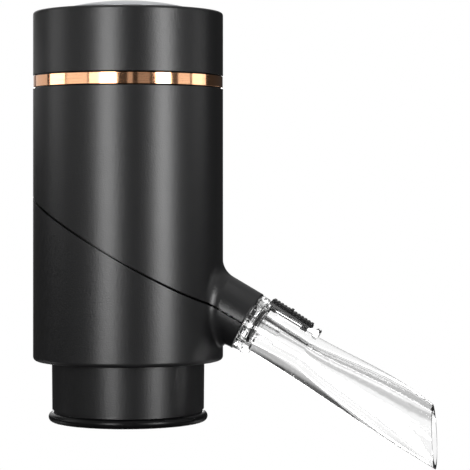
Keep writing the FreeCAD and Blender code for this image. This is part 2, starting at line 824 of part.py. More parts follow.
def valve_plate():
    """Plate with one inlet and one outlet hole under each diaphragm cup."""
    plate = rod(pump_diameter, pump_cover_top, valve_plate_top, pump_offset)
    low = pump_cover_top - cut_margin
    high = valve_plate_top + cut_margin
    for angle in cup_angles:
        for circle in (diaphragm_cup_circle - valve_hole_spread, diaphragm_cup_circle + valve_hole_spread):
            x, y = on_circle(circle, angle, pump_offset)
            plate = plate.cut(rod(valve_hole_diameter, low, high, x, y))
    return drill_pump(plate)


def pump_diaphragm():
    """Rubber sheet with three cups."""
    sheet = rod(pump_diameter, valve_plate_top, diaphragm_top, pump_offset)
    wall = diaphragm_cup_wall
    for angle in cup_angles:
        x, y = on_circle(diaphragm_cup_circle, angle, pump_offset)
        cup = rod(diaphragm_cup_diameter, diaphragm_top - wall, diaphragm_top + diaphragm_cup_height, x, y)
        room = rod(diaphragm_cup_diameter - 2 * wall, valve_plate_top - cut_margin,
                   diaphragm_top + diaphragm_cup_height - wall, x, y)
        sheet = sheet.fuse(cup).cut(room)
    return drill_pump(sheet)


def motor_screw_places():
    """Centres of the two screws between pump body and motor."""
    return [on_circle(motor_screw_circle, angle, pump_offset) for angle in motor_screw_angles]


def motor_screws():
    """Two short screws from inside the pump body into the motor."""
    sizes = (motor_screw_diameter, motor_screw_head_diameter, motor_screw_head_height)
    top = pump_body_top + motor_boss_height
    return [screw(pump_roof_under, top, x, y, False, sizes) for x, y in motor_screw_places()]


def drill_motor(shape):
    """Holes for the two short screws."""
    for x, y in motor_screw_places():
        shape = shape.cut(rod(motor_screw_diameter, pump_roof_under - cut_margin,
                              pump_body_top + motor_boss_height, x, y))
    return shape


def pump_body():
    """Cup round the wobbling mechanism; the motor stands on its roof."""
    body = rod(pump_diameter, diaphragm_top, pump_body_top, pump_offset)
    room = rod(2 * pump_inner_radius, diaphragm_top - cut_margin, pump_roof_under, pump_offset)
    through_roof = (pump_roof_under - cut_margin, pump_body_top + cut_margin)
    boss_hole = rod(motor_boss_diameter + 2 * fit_gap, *through_roof, pump_offset)
    return drill_motor(drill_pump(body.cut(room).cut(boss_hole)))


def motor_can():
    """Steel can of the motor with its bearing boss, open on top."""
    can = rod(motor_diameter, pump_body_top, motor_top, pump_offset)
    room_diameter = motor_diameter - 2 * motor_wall
    room = rod(room_diameter, pump_body_top + motor_boss_height, motor_top + cut_margin, pump_offset)
    boss = rod(motor_boss_diameter, pump_body_top - motor_boss_height, pump_body_top, pump_offset)
    bearing = rod(motor_shaft_diameter + 2 * fit_gap, pump_body_top - motor_boss_height - cut_margin,
                  motor_top, pump_offset)
    return drill_motor(fuse_all([can.cut(room), boss]).cut(bearing))


def motor_end_cap():
    """Cap with the rear bearing."""
    bearing = motor_shaft_diameter + 2 * fit_gap
    return pipe(motor_diameter, bearing, motor_top, motor_top + motor_cap_thickness, pump_offset)


def motor_magnets():
    """Two curved magnets against the can."""
    outer = motor_diameter - 2 * motor_wall - 2 * fit_gap
    low = pump_body_top + motor_boss_height + magnet_end_inset
    high = motor_top - magnet_end_inset
    ring = pipe(outer, outer - 2 * magnet_thickness, low, high, pump_offset)
    split = block((pump_offset - outer, -magnet_gap_width / 2, low - cut_margin),
                  (pump_offset + outer, magnet_gap_width / 2, high + cut_margin))
    return ring.cut(split).Solids


def motor_armature():
    """Rotor of the motor with three slots."""
    low = pump_body_top + motor_boss_height + armature_inset
    high = motor_top - armature_inset
    core = pipe(armature_diameter, motor_shaft_diameter, low, high, pump_offset)
    slot = block((armature_diameter / 2 - armature_slot_depth, -armature_slot_width / 2, low - cut_margin),
                 (armature_diameter, armature_slot_width / 2, high + cut_margin))
    for angle in armature_slot_angles:
        turned = slot.copy()
        turned.rotate(V(0, 0, 0), V(0, 0, 1), angle)
        turned.translate(V(pump_offset, 0, 0))
        core = core.cut(turned)
    return core


def motor_shaft():
    """Shaft from the wheel up through both bearings."""
    top = motor_top + motor_cap_thickness
    return rod(motor_shaft_diameter, pin_hole_top() + running_gap, top, pump_offset)


def tilted(shape):
    """Lean a shape about the wobble centre."""
    leaned = shape.copy()
    leaned.rotate(wobble_centre, V(0, 1, 0), wobble_angle)
    return leaned


def pin_hole_top():
    """Height of the blind end of the pin's hole, along the pin."""
    return wheel_bottom + wheel_height / 2


def drive_pin():
    """Leaning pin between the wheel and the swing plate."""
    low = swing_plate_middle - swing_plate_thickness / 2 - drive_pin_tail
    return tilted(rod(drive_pin_diameter, low, pin_hole_top(), pump_offset))


def eccentric_wheel():
    """Wheel on the shaft that carries the leaning pin."""
    wheel = rod(wheel_diameter, wheel_bottom, wheel_top, pump_offset)
    return wheel.cut(motor_shaft()).cut(drive_pin())


def swing_plate():
    """Three-armed plate that wobbles on the pin and works the diaphragm's cups."""
    low = swing_plate_middle - swing_plate_thickness / 2
    high = swing_plate_middle + swing_plate_thickness / 2
    plate = rod(swing_hub_diameter, low, high, pump_offset)
    arm = block((0, -swing_arm_width / 2, low), (swing_arm_reach, swing_arm_width / 2, high))
    for angle in cup_angles:
        turned = arm.copy()
        turned.rotate(V(0, 0, 0), V(0, 0, 1), angle)
        turned.translate(V(pump_offset, 0, 0))
        plate = plate.fuse(turned)
    hole = rod(drive_pin_diameter + 2 * slide_gap, low - cut_margin, high + cut_margin, pump_offset)
    return tilted(plate.cut(hole).removeSplitter())


# ---------------------------------------------------------------- tubes
def bent_tube(outer, inner, points, radius):
    """Tube along straight runs joined by tangent arcs of one radius, in the plane y = 0."""
    edges = []
    start = points[0]
    for corner, following in zip(points[1:-1], points[2:]):
        towards = (corner - start).normalize()
        away = (following - corner).normalize()
        half_turn = towards.getAngle(away) / 2
        reach = radius * math.tan(half_turn)
        first = corner - towards * reach
        last = corner + away * reach
        bisector = (away - towards).normalize()
        middle = corner + bisector * (radius / math.cos(half_turn) - radius)
        edges.append(Part.LineSegment(start, first).toShape())
        edges.append(Part.Arc(first, middle, last).toShape())
        start = last
    edges.append(Part.LineSegment(start, points[-1]).toShape())
    path = Part.Wire(edges)
    direction = (points[1] - points[0]).normalize()
    skins = []
    for diameter in (outer, inner):
        section = Part.Wire([Part.makeCircle(diameter / 2, points[0], direction)])
        skins.append(path.makePipeShell([section], True, False))
    return skins[0].cut(skins[1])


def on_spout_axis(distance):
    """Point on the sloping axis."""
    slope = math.radians(seam_angle)
    return V(distance * math.cos(slope), 0, seam_height - distance * math.sin(slope))


def wine_tube():
    """Silicone tube from the hub up and over into the outlet nozzle."""
    points = [V(0, 0, hub_flange_top + fit_gap), V(0, 0, seam_height),
              on_spout_axis(nozzle_groove_start)]
    return bent_tube(wine_tube_diameter, wine_tube_bore, points, wine_bend_radius)


def air_hose():
    """Hose from the pump's nozzle down to the hub's air barb."""
    straight = (lower_deck_bottom - hub_flange_top - hose_middle) / 2
    points = [V(pump_offset, 0, lower_deck_bottom - running_gap),
              V(pump_offset, 0, lower_deck_bottom - straight),
              V(-air_port_offset, 0, hub_flange_top + straight),
              V(-air_port_offset, 0, hub_flange_top + fit_gap)]
    return bent_tube(hose_diameter, hose_bore, points, hose_bend_radius)


# ---------------------------------------------------------------- outlet, spout and slider (local X axis)
def outlet_nozzle():
    """Fixed tube held in the collar's groove, with a head for its ring; the spout slides over it."""
    flange_size = nozzle_groove_diameter - 2 * fit_gap
    flange_disc = rod_along(flange_size, nozzle_groove_start + fit_gap, nozzle_groove_end - fit_gap)
    barb_start = nozzle_groove_start - nozzle_barb_length
    barb = rod_along(wine_tube_bore - 2 * fit_gap, barb_start, nozzle_groove_end)
    outlet = rod_along(nozzle_diameter, nozzle_groove_start + fit_gap, nozzle_reach)
    head = rod_along(nozzle_head_diameter, o_ring_position - nozzle_head_length / 2, nozzle_head_end)
    half = o_ring_section / 2
    ring_groove = rod_along(nozzle_head_diameter + cut_margin, o_ring_position - half - fit_gap,
                            o_ring_position + half + fit_gap)
    ring_groove = ring_groove.cut(rod_along(o_ring_bore, 0, nozzle_reach))
    bore = rod_along(nozzle_bore_diameter, 0, nozzle_reach + cut_margin)
    return in_spout_frame(fuse_all([flange_disc, barb, outlet, head]).cut(ring_groove).cut(bore))


def ring_on_axis(section, inner_radius, position):
    """O-ring round the spout axis."""
    ring = Part.makeTorus(inner_radius + section / 2, section / 2, V(position, 0, 0), V(1, 0, 0))
    return in_spout_frame(ring)


def nozzle_o_ring():
    """O-ring in the nozzle head's groove, against the spout's socket."""
    return ring_on_axis(o_ring_section, o_ring_bore / 2, o_ring_position)


def spigot_seal():
    """O-ring in the spigot's groove, against the collar's bore."""
    return ring_on_axis(spigot_seal_section, spigot_radius - spigot_seal_section, spigot_seal_position)


def ellipse_section(distance, half_height, half_width, drop):
    """Closed elliptic wire square to the spout axis, lowered by drop."""
    centre = V(distance, 0, -drop)
    if half_width == half_height:
        return Part.Wire([Part.makeCircle(half_height, centre, V(1, 0, 0))])
    ellipse = Part.Ellipse(centre + V(0, half_width, 0), centre + V(0, 0, half_height), centre)
    return Part.Wire([ellipse.toShape()])


def spout_outer():
    """Outer form of the spout from its flange past the mouth."""
    wires = [ellipse_section(flange_end, root_half_height, root_half_height, 0)]
    for distance, half_height, half_width, drop, wall in spout_sections:
        wires.append(ellipse_section(flange_end + distance, half_height, half_width, drop))
    return Part.makeLoft(wires, True, False)


def spout_bore():
    """Socket for the nozzle's head, straight bore, a narrowing throat, then the flare to the mouth."""
    socket = rod_along(spout_socket_diameter, spigot_start - cut_margin, spout_socket_end)
    straight = rod_along(spout_bore_diameter, spigot_start - cut_margin, spout_bore_straight_end)
    throat_end = flange_end + spout_sections[0][0]
    throat = Part.makeCone(spout_bore_diameter / 2, spout_throat_diameter / 2,
                           throat_end - spout_bore_straight_end, V(spout_bore_straight_end, 0, 0), V(1, 0, 0))
    wires = [ellipse_section(throat_end, spout_throat_diameter / 2, spout_throat_diameter / 2, 0)]
    for distance, half_height, half_width, drop, wall in spout_sections[1:]:
        wires.append(ellipse_section(flange_end + distance, half_height - wall, half_width - wall, drop))
    return [socket, straight, throat, Part.makeLoft(wires, True, False)]


def spout_rail():
    """Rail with leaning sides on top of the spout, and its end stop."""
    top_width = rail_width - 2 * (rail_height - rail_foot) * math.tan(math.radians(rail_draft))
    section = [V(rail_start, -rail_width / 2, rail_foot), V(rail_start, rail_width / 2, rail_foot),
               V(rail_start, top_width / 2, rail_height), V(rail_start, -top_width / 2, rail_height)]
    rail = Part.Face(Part.makePolygon(section + section[:1])).extrude(V(rail_end - rail_start, 0, 0))
    stop = block((rail_end - rail_stop_length, -rail_width / 2, rail_foot),
                 (rail_end, rail_width / 2, rail_height + rail_stop_height))
    stop = round_edges(stop, rail_stop_length / 2,
                       lambda e: e.BoundBox.YLength > rail_width / 2 and e.BoundBox.ZMin > rail_height
                       and e.BoundBox.XMin > rail_end - rail_stop_length / 2)
    return [rail, stop]


def rail_channel():
    """T-shaped channel in the rail for the slider's feet."""
    start = rail_start + channel_start
    end = slider_front + slider_travel
    neck_bottom = rail_height - channel_neck_height
    neck = block((start, -channel_neck_width / 2, neck_bottom - fit_gap),
                 (end, channel_neck_width / 2, rail_height + cut_margin))
    wide = block((start, -channel_width / 2, neck_bottom - channel_height),
                 (end, channel_width / 2, neck_bottom))
    return [neck, wide]


def spout_flange():
    """Round flange against the collar, castellated on its rear edge."""
    radius = flange_diameter / 2
    flange_disc = rod_along(flange_diameter, flange_start, flange_end)
    notch = block((flange_start - cut_margin, -flange_notch_width / 2, radius - flange_notch_depth),
                  (flange_start + flange_notch_length, flange_notch_width / 2, radius + cut_margin))
    for number in range(flange_notch_count):
        turned = notch.copy()
        turned.rotate(V(0, 0, 0), V(1, 0, 0), (number + 0.5) * 360 / flange_notch_count)
        flange_disc = flange_disc.cut(turned)
    return flange_disc


def spout_lug():
    """Rounded locating lug under the spout's root."""
    low = -root_half_height - lug_stand
    front = flange_end + lug_length
    lug = block((flange_end - fit_gap, -lug_width / 2, low), (front, lug_width / 2, low + lug_depth))

    def lower_front(edge):
        return edge.BoundBox.ZMax < low + fit_gap and edge.BoundBox.XMin > front - fit_gap

    return round_edges(lug, lug_fillet, lower_front)


def spout_tube():
    """Clear spout: spigot, flange, rail and flared barrel with its upright mouth."""
    spigot = rod_along(2 * spigot_radius, spigot_start, flange_start + fit_gap)
    solid = fuse_all([spout_outer(), spigot, spout_flange(), spout_lug()] + spout_rail())
    seal_floor = spigot_radius - spigot_seal_section
    seal_start = spigot_seal_position - spigot_seal_section / 2 - fit_gap
    seal_end = spigot_seal_position + spigot_seal_section / 2 + fit_gap
    seal_groove = rod_along(2 * spigot_radius + cut_margin, seal_start, seal_end)
    seal_groove = seal_groove.cut(rod_along(2 * seal_floor, 0, mouth_reach))
    half = cutter_size / 2
    beyond = block((0, -half, -half), (cutter_size, half, half))
    beyond.rotate(V(0, 0, 0), V(0, 1, 0), -mouth_angle)
    beyond.translate(V(mouth_reach, 0, 0))
    solid = solid.cut(seal_groove)
    for tool in spout_bore() + rail_channel() + [beyond]:
        solid = solid.cut(tool)
    return in_spout_frame(solid)


def slider_foot(start):
    """T-shaped foot of the slider in the rail's channel."""
    gap = running_gap / 2
    neck_bottom = rail_height - channel_neck_height
    foot_bottom = neck_bottom - channel_height + gap
    neck = block((start, -channel_neck_width / 2 + gap, foot_bottom),
                 (start + slider_foot_length, channel_neck_width / 2 - gap, slider_under + gap))
    flanks = block((start, -channel_width / 2 + gap, foot_bottom),
                   (start + slider_foot_length, channel_width / 2 - gap, neck_bottom - gap))
    return [neck, flanks]


def vent_slider():
    """Ribbed thumb slider, thicker at the collar's end, with two feet and a runner in the channel."""
    rear_top = slider_under + slider_rear_thickness
    front_top = slider_under + slider_front_thickness
    outline = [V(slider_rear, 0, slider_under), V(slider_front, 0, slider_under),
               V(slider_front, 0, front_top), V(slider_rear, 0, rear_top)]
    side = Part.Face(Part.makePolygon(outline + outline[:1]))
    side.translate(V(0, -slider_width / 2, 0))
    parts = [side.extrude(V(0, slider_width, 0))]
    pitch = slider_length / slider_rib_count
    for number in range(slider_rib_count):
        x = slider_rear + (number + 0.5) * pitch
        top = rear_top + (front_top - rear_top) * (x - slider_rear) / slider_length
        rise = slider_tall_rib_height if number == slider_tall_rib else slider_rib_height
        root = slider_under + slider_front_thickness / 2
        parts.append(block((x - slider_rib_width / 2, -slider_width / 2, root),
                           (x + slider_rib_width / 2, slider_width / 2, top + rise)))
    rear_foot = slider_rear + slider_foot_inset
    front_foot = rear_foot + slider_foot_length + slider_rear_foot_lead
    parts += slider_foot(rear_foot) + slider_foot(front_foot)
    runner_top = rail_height - channel_neck_height - running_gap / 2
    runner_half_width = (channel_width - running_gap) / 2
    parts.append(block((rear_foot, -runner_half_width, runner_top - slider_runner_thickness),
                       (front_foot, runner_half_width, runner_top)))
    return in_spout_frame(fuse_all(parts))


# ---------------------------------------------------------------- electronics in the crown
def main_board():
    """Round circuit board on the upper deck's pillars."""
    board = rod(board_diameter, board_bottom, board_top)
    for x, y in board_pillar_places():
        board = board.cut(rod(screw_diameter, board_bottom - cut_margin, board_top + cut_margin, x, y))
    return board


def tact_switch():
    """Square switch body with the well of its plunger."""
    half = switch_side / 2
    body = block((-half, -half, board_top), (half, half, switch_top))
    well = rod(plunger_diameter + 2 * slide_gap, plunger_top - plunger_length - button_stroke - running_gap,
               switch_top + cut_margin)
    return body.cut(well)


def switch_plunger():
    """Plunger of the switch, under the button's stem."""
    return rod(plunger_diameter, plunger_top - plunger_length, plunger_top)


def charge_socket():
    """Metal shell of the charging socket with its tongue."""
    half_width = socket_width / 2
    front = -math.sqrt(crown_inner_radius ** 2 - half_width ** 2) + running_gap
    level = charge_port_level()
    shell = block((front, -half_width, board_top),
                  (front + socket_depth, half_width, board_top + socket_height))
    shell = round_edges(shell, socket_corner, lambda e: e.BoundBox.XLength > socket_depth / 2)
    inner_half = half_width - socket_wall
    back = front + socket_depth - socket_back_wall
    room = block((front - cut_margin, -inner_half, board_top + socket_wall),
                 (back, inner_half, board_top + socket_height - socket_wall))
    half_tongue = socket_tongue_thickness / 2
    tongue = block((back - socket_tongue_length, -socket_tongue_width / 2, level - half_tongue),
                   (back + socket_wall, socket_tongue_width / 2, level + half_tongue))
    return fuse_all([shell.cut(room), tongue])


# ---------------------------------------------------------------- build every sub-part
def build():
    """Write all sub-parts."""
    form = hollow_form()
    save("upper_shell", upper_shell(form))
    save("lower_shell", lower_shell(form))
    save("trim_band", trim_band())
    save("crown_cap", crown_cap())
    save("press_button", press_button())
    save("button_guide", button_guide())
    save("button_return_dome", button_return_dome())
    save("base_collar", base_collar())
    save("base_ring", base_ring())
    save("neck_seal", neck_seal())
    save("bottle_hub", bottle_hub())
    save("air_duckbill", air_duckbill())
    save("hub_screws", *screws(hub_screw_places(), body_bottom - screw_bite, hub_flange_top))
    web_bottom = lower_deck_bottom - shell_post_web
    save("shell_screws", *screws(shell_post_places(), web_bottom, lower_deck_top - fit_gap, False))
    save("lower_deck", lower_deck())
    save("upper_deck", upper_deck())
    save("deck_posts", *deck_posts())
    save("deck_screws", *screws(deck_screw_places(), upper_deck_bottom, shoulder_under + screw_bite, False))
    save("lithium_cell", lithium_cell())
    save("cell_pad", cell_pad())
    save("pump_cover", pump_cover())
    save("valve_plate", valve_plate())
    save("pump_diaphragm", pump_diaphragm())
    save("pump_body", pump_body())
    save("pump_screws", *pump_screws())
    save("motor_screws", *motor_screws())
    save("motor_can", motor_can())
    save("motor_end_cap", motor_end_cap())
    save("motor_magnets", *motor_magnets())
    save("motor_armature", motor_armature())
    save("motor_shaft", motor_shaft())
    save("eccentric_wheel", eccentric_wheel())
    save("drive_pin", drive_pin())
    save("swing_plate", swing_plate())
    save("wine_tube", wine_tube())
    save("air_hose", air_hose())
    save("outlet_nozzle", outlet_nozzle())
    save("nozzle_o_ring", nozzle_o_ring())
    save("spout_tube", spout_tube())
    save("spigot_seal", spigot_seal())
    save("vent_slider", vent_slider())
    save("main_board", main_board())
    save("board_screws", *screws(board_pillar_places(), board_bottom - screw_bite, board_top))
    save("tact_switch", tact_switch())
    save("switch_plunger", switch_plunger())
    save("charge_socket", charge_socket())


build()
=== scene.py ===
"""Electric wine dispenser for a bottle's neck, dressed and lit.

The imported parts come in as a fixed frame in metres, +Z up, with the spout towards +X.
Every piece drawn here lies where its part lies and rides on that part's body.
"""

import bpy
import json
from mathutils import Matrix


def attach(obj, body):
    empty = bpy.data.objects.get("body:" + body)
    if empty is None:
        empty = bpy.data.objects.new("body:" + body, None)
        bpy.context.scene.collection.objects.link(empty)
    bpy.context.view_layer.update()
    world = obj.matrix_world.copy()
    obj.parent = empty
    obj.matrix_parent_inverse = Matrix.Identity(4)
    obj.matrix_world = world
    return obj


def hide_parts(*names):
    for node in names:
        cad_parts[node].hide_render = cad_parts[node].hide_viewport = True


bl_info = {
    "name": "Wine dispenser dresser",
    "version": (1, 0, 0),
    "blender": (4, 5, 0),
    "location": "View3D > Sidebar > Dispenser",
    "description": "Gives the wine dispenser its finishes, its thumb slider and a studio",
    "category": "Object",
}

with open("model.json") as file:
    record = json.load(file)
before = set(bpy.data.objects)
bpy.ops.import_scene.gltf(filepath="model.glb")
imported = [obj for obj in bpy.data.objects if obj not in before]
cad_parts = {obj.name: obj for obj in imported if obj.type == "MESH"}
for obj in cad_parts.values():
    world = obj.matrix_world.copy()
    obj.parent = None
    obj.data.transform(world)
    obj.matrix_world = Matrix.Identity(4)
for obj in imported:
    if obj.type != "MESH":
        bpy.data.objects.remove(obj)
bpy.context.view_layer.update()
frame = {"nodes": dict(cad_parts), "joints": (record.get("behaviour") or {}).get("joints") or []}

import json
import math

import bmesh
import bpy
from bpy.props import FloatProperty, FloatVectorProperty, IntProperty, PointerProperty
from mathutils import Matrix, Vector

MM = 0.001
# corners of a mesh that lie nearer than this are one
WELD = 0.001 * MM
# how finely the thumb slider's round parts are divided
PAD_END_STEPS = 4
PAD_SHOULDER_STEPS = 6
RIB_CORNER_STEPS = 5
# share of its thickness that the pad loses at its ends, and the most that its shoulders take
PAD_END_DROP = 0.5
PAD_SHOULDER_SHARE = 0.9
# the feet are cut this far under the pad, and a corner this near to the cut lies on it
FEET_CUT = 0.02 * MM
CUT_TOLERANCE = 1e-4 * MM
# corners of the thumb slider sharper than this are softened, with so many faces
SOFTENED_CORNER = math.radians(40)
SOFTENED_FACES = 2
# nearly all of a noise texture's values lie in this span
NOISE_SPAN = {"From Min": 0.3, "From Max": 0.7}

LAMP_DISTANCE = 0.9
LINE_DISTANCE = 0.88
# name, azimuth to the camera's right and angle spanned in degrees, middle's height, height, radiance
LAMPS = (
    ("left_strip", -24, 18, 0.155, 0.45, 9.0),
    ("right_strip", 42, 18, 0.165, 0.45, 11.0),
    ("left_side", -94, 27, 0.42, 0.60, 1.0),
    ("right_side", 90, 18, 0.40, 0.60, 0.55),
    ("left_fill", -63, 26, 0.25, 0.70, 0.18),
    ("right_fill", 70, 18, 0.34, 0.70, 0.14),
    ("back_strip", 180, 13, -0.12, 0.50, 5.0),
    ("left_low", -115, 18, -0.36, 0.30, 0.8),
    ("right_low", 125, 18, -0.36, 0.30, 0.8),
)
# narrow lines of light in front of the boxes, at the height that the trim band mirrors
BAND_LINES = (
    ("band_far_left", -131, 36, 0.164, 0.05, 0.75),
    ("band_left", -94, 26, 0.164, 0.05, 2.5),
    ("band_mid_left", -64, 30, 0.164, 0.05, 1.2),
    ("band_near_left", -30, 34, 0.164, 0.05, 3.0),
    ("band_front", 2, 6, 0.164, 0.05, 0.6),
    ("band_near_right", 18, 14, 0.164, 0.05, 0.35),
    ("band_mid_right", 70, 18, 0.164, 0.05, 1.1),
    ("band_right", 94, 24, 0.164, 0.05, 2.0),
)
OVERHEAD_HEIGHT = 1.1
OVERHEAD_SIDE = 0.8
OVERHEAD_RADIANCE = 1.2

# what gloss sees: a backdrop by nearness to its middle, and a ceiling by height
BACKDROP_AZIMUTH = -172
BACKDROP_RISE = 0.4
BACKDROP = {"From Min": 0.88, "From Max": 0.98, "To Min": 0.0, "To Max": 1.0}
CEILING = {"From Min": 0.25, "From Max": 0.7, "To Min": 0.04, "To Max": 0.4}
# what clear plastic sees: a line at the horizon and a ceiling by height, and a flag by nearness
# to its middle
INTO_LINE = {"From Min": 0.0, "From Max": 0.06, "To Min": 1.0, "To Max": 0.55}
OUT_OF_LINE = {"From Min": 0.14, "From Max": 0.22, "To Max": 1.0}
GREY_CEILING = {"From Min": 0.25, "From Max": 0.4, "To Max": 0.52}
FLAG_MIDDLE = Vector((0.85, 0.3, 0.3)).normalized()
FLAG = {"From Min": 0.6, "From Max": 0.75, "To Min": 1.0, "To Max": 0.02}
# the floor by its distance from the object's axis: what gloss sees, darker under the object as a painted
# shadow, and how far it shows as white
FLOOR_GLOSS_PAINTED_SHADOW = {"From Min": 0.25, "From Max": 1.0, "To Min": 0.03, "To Max": 0.2}
FLOOR_WHITE = {"From Min": 0.2, "From Max": 1.2, "To Min": 0.75, "To Max": 1.0}
FLOOR_SIDES = 96
SENSOR_WIDTH = 36.0
NEAREST_SEEN = 0.01


# ---------------------------------------------------------------- colour, nodes and small helpers
def linear(hex_colour):
    """Linear red, green and blue of an sRGB colour such as #1D1D1F."""
    channels = [int(hex_colour[start:start + 2], 16) / 255 for start in (1, 3, 5)]
    return tuple(c / 12.92 if c <= 0.04045 else ((c + 0.055) / 1.055) ** 2.4 for c in channels)


def opaque(colour):
    """Colour with full alpha, as a node's colour socket takes it."""
    return (*colour, 1.0)


def add_node(tree, kind, values=None, links=None, **settings):
    """Add one node with its settings, socket values and incoming links."""
    node = tree.nodes.new(kind)
    for name, value in settings.items():
        setattr(node, name, value)
    for socket, value in (values or {}).items():
        node.inputs[socket].default_value = value
    for socket, source in (links or {}).items():
        tree.links.new(source, node.inputs[socket])
    return node


def new_finish(name, **sockets):
    """Material with a Principled shader whose sockets are set from the keywords."""
    material = bpy.data.materials.new(name)
    material.use_nodes = True
    tree = material.node_tree
    tree.nodes.clear()
    values = {socket.replace("_", " "): value for socket, value in sockets.items()}
    shader = add_node(tree, "ShaderNodeBsdfPrincipled", values)
    add_node(tree, "ShaderNodeOutputMaterial", links={"Surface": shader.outputs["BSDF"]})
    return material, tree, shader


def surface_grain(tree, shader, size_mm, depth_mm, rough=None, stretch=(1, 1, 1), detail=2.0):
    """Uneven surface with features of one size: a shallow relief that also varies the roughness.

    The stretch draws the features out along an axis where it is small.
    """
    place = add_node(tree, "ShaderNodeTexCoord").outputs["Object"]
    turned = add_node(tree, "ShaderNodeMapping", {"Scale": stretch}, {"Vector": place})
    grain = add_node(tree, "ShaderNodeTexNoise", {"Scale": 1 / (size_mm * MM), "Detail": detail},
                     {"Vector": turned.outputs["Vector"]}).outputs["Fac"]
    bump = add_node(tree, "ShaderNodeBump", {"Strength": 1.0, "Distance": depth_mm * MM},
                    {"Height": grain})
    tree.links.new(bump.outputs["Normal"], shader.inputs["Normal"])
    if rough:
        span = {**NOISE_SPAN, "To Min": rough[0], "To Max": rough[1]}
        polish = add_node(tree, "ShaderNodeMapRange", span, {"Value": grain})
        tree.links.new(polish.outputs["Result"], shader.inputs["Roughness"])
    return grain


def mottle(tree, shader, grain, first, second, between=(0.35, 0.65)):
    """Colour that wanders between two shades with the grain."""
    span = {"From Min": between[0], "From Max": between[1]}
    share = add_node(tree, "ShaderNodeMapRange", span, {"Value": grain}).outputs["Result"]
    blend = add_node(tree, "ShaderNodeMix", {6: opaque(linear(first)), 7: opaque(linear(second))},
                     {0: share}, data_type="RGBA")
    tree.links.new(blend.outputs[2], shader.inputs["Base Color"])


def dress(node, material):
    """Give a part its finish."""
    part = frame["nodes"][node]
    for slot in part.material_slots:
        slot.material = material
    if not part.material_slots:
        part.data.materials.append(material)


def dress_all(material, *nodes):
    """Give several parts one finish."""
    for node in nodes:
        dress(node, material)


def settings():
    """The dispenser's sizes and colours."""
    return bpy.context.scene.wine_dispenser


def spout_frame():
    """Turn of the spout's own frame: X along its axis, Y across, Z up from it."""
    pull = next(joint for joint in frame["joints"] if joint["name"] == "spout_pull")
    along = Vector(pull["axis"])
    across = Vector((0, 1, 0))
    return Matrix((along, across, along.cross(across))).transposed().to_4x4()


def new_tree(name, sizes):
    """Geometry tree with one named input for each size; returns it, its inputs and its output node."""
    tree = bpy.data.node_groups.new(name, "GeometryNodeTree")
    tree.interface.new_socket("Geometry", in_out="OUTPUT", socket_type="NodeSocketGeometry")
    kinds = {int: "NodeSocketInt", float: "NodeSocketFloat", Vector: "NodeSocketVector"}
    for size, value in sizes.items():
        tree.interface.new_socket(size, in_out="INPUT", socket_type=kinds[type(value)])
    given = add_node(tree, "NodeGroupInput").outputs
    return tree, given, add_node(tree, "NodeGroupOutput")


def finish_tree(tree, copies, material, out):
    """End a tree: instances made real, with their finish, into the output."""
    real = add_node(tree, "GeometryNodeRealizeInstances", links={"Geometry": copies})
    dressed = add_node(tree, "GeometryNodeSetMaterial", {"Material": material},
                       {"Geometry": real.outputs["Geometry"]})
    tree.links.new(dressed.outputs["Geometry"], out.inputs["Geometry"])


def baked(tree, sizes):
    """Plain mesh that a geometry tree gives for these sizes."""
    carrier = bpy.data.objects.new(tree.name, bpy.data.meshes.new(tree.name))
    bpy.context.scene.collection.objects.link(carrier)
    modifier = carrier.modifiers.new(tree.name, "NODES")
    modifier.node_group = tree
    for item in tree.interface.items_tree:
        if item.in_out == "INPUT":
            modifier[item.identifier] = sizes[item.name]
    bpy.context.view_layer.update()
    mesh = bpy.data.meshes.new_from_object(carrier.evaluated_get(bpy.context.evaluated_depsgraph_get()))
    carrier.modifiers.clear()
    bpy.data.objects.remove(carrier)
    return mesh


def new_piece(name, form, material, body, *nodes):
    """Object made of a finished form, in place of the named parts and riding on their body."""
    mesh = bpy.data.meshes.new(name)
    form.to_mesh(mesh)
    form.free()
    mesh.materials.clear()
    mesh.materials.append(material)
    piece = bpy.data.objects.new(name, mesh)
    bpy.context.scene.collection.objects.link(piece)
    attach(piece, body)
    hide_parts(*nodes)
    return piece


# ---------------------------------------------------------------- finishes
def soft_touch_paint():
    """Soft-touch polyurethane paint, sprayed on moulded ABS."""
    # It dries to a fine even grit that spreads each lamp into a soft upright band.
    # The real grit is about 0.1 mm across and is drawn at 0.45 mm so that it shows.
    look = settings()
    material, tree, shader = new_finish(
        "soft_touch_paint", Base_Color=opaque(look.paint_colour), Roughness=0.33,
        Specular_IOR_Level=0.55)
    surface_grain(tree, shader, 0.45, 0.036, (0.3, 0.36))
    return material


def rose_gold_plating():
    """Rose-gold electroplate over a turned and polished brass ring."""
    # Turning leaves faint lines round the ring, drawn 0.2 mm apart so that they show.
    # The ring is painted black inside its recess above and below, as painted shade that draws a shadow
    # line at each edge.
    look = settings()
    material, tree, shader = new_finish(
        "rose_gold_plating", Base_Color=opaque(look.gold_colour), Metallic=1.0, Roughness=0.1)
    surface_grain(tree, shader, 8.0, 0.002, (0.07, 0.14), (1, 1, 40))
    place = add_node(tree, "ShaderNodeTexCoord").outputs["Object"]
    level = add_node(tree, "ShaderNodeVectorMath", {1: (1, 1, 0)}, {0: place}, operation="MULTIPLY")
    radius = add_node(tree, "ShaderNodeVectorMath", links={0: level.outputs["Vector"]},
                      operation="LENGTH")
    # inside this radius the band is painted black as painted shade for the shadow lines, outside it the
    # band is gold
    outside_painted_shade = add_node(tree, "ShaderNodeMath", {1: look.band_painted_shade_radius}, {0: radius.outputs["Value"]},
                    operation="GREATER_THAN")
    plated = add_node(tree, "ShaderNodeMix", {6: opaque(linear("#040404")), 7: opaque(look.gold_colour)},
                      {0: outside_painted_shade.outputs["Value"]}, data_type="RGBA")
    tree.links.new(plated.outputs[2], shader.inputs["Base Color"])
    return material


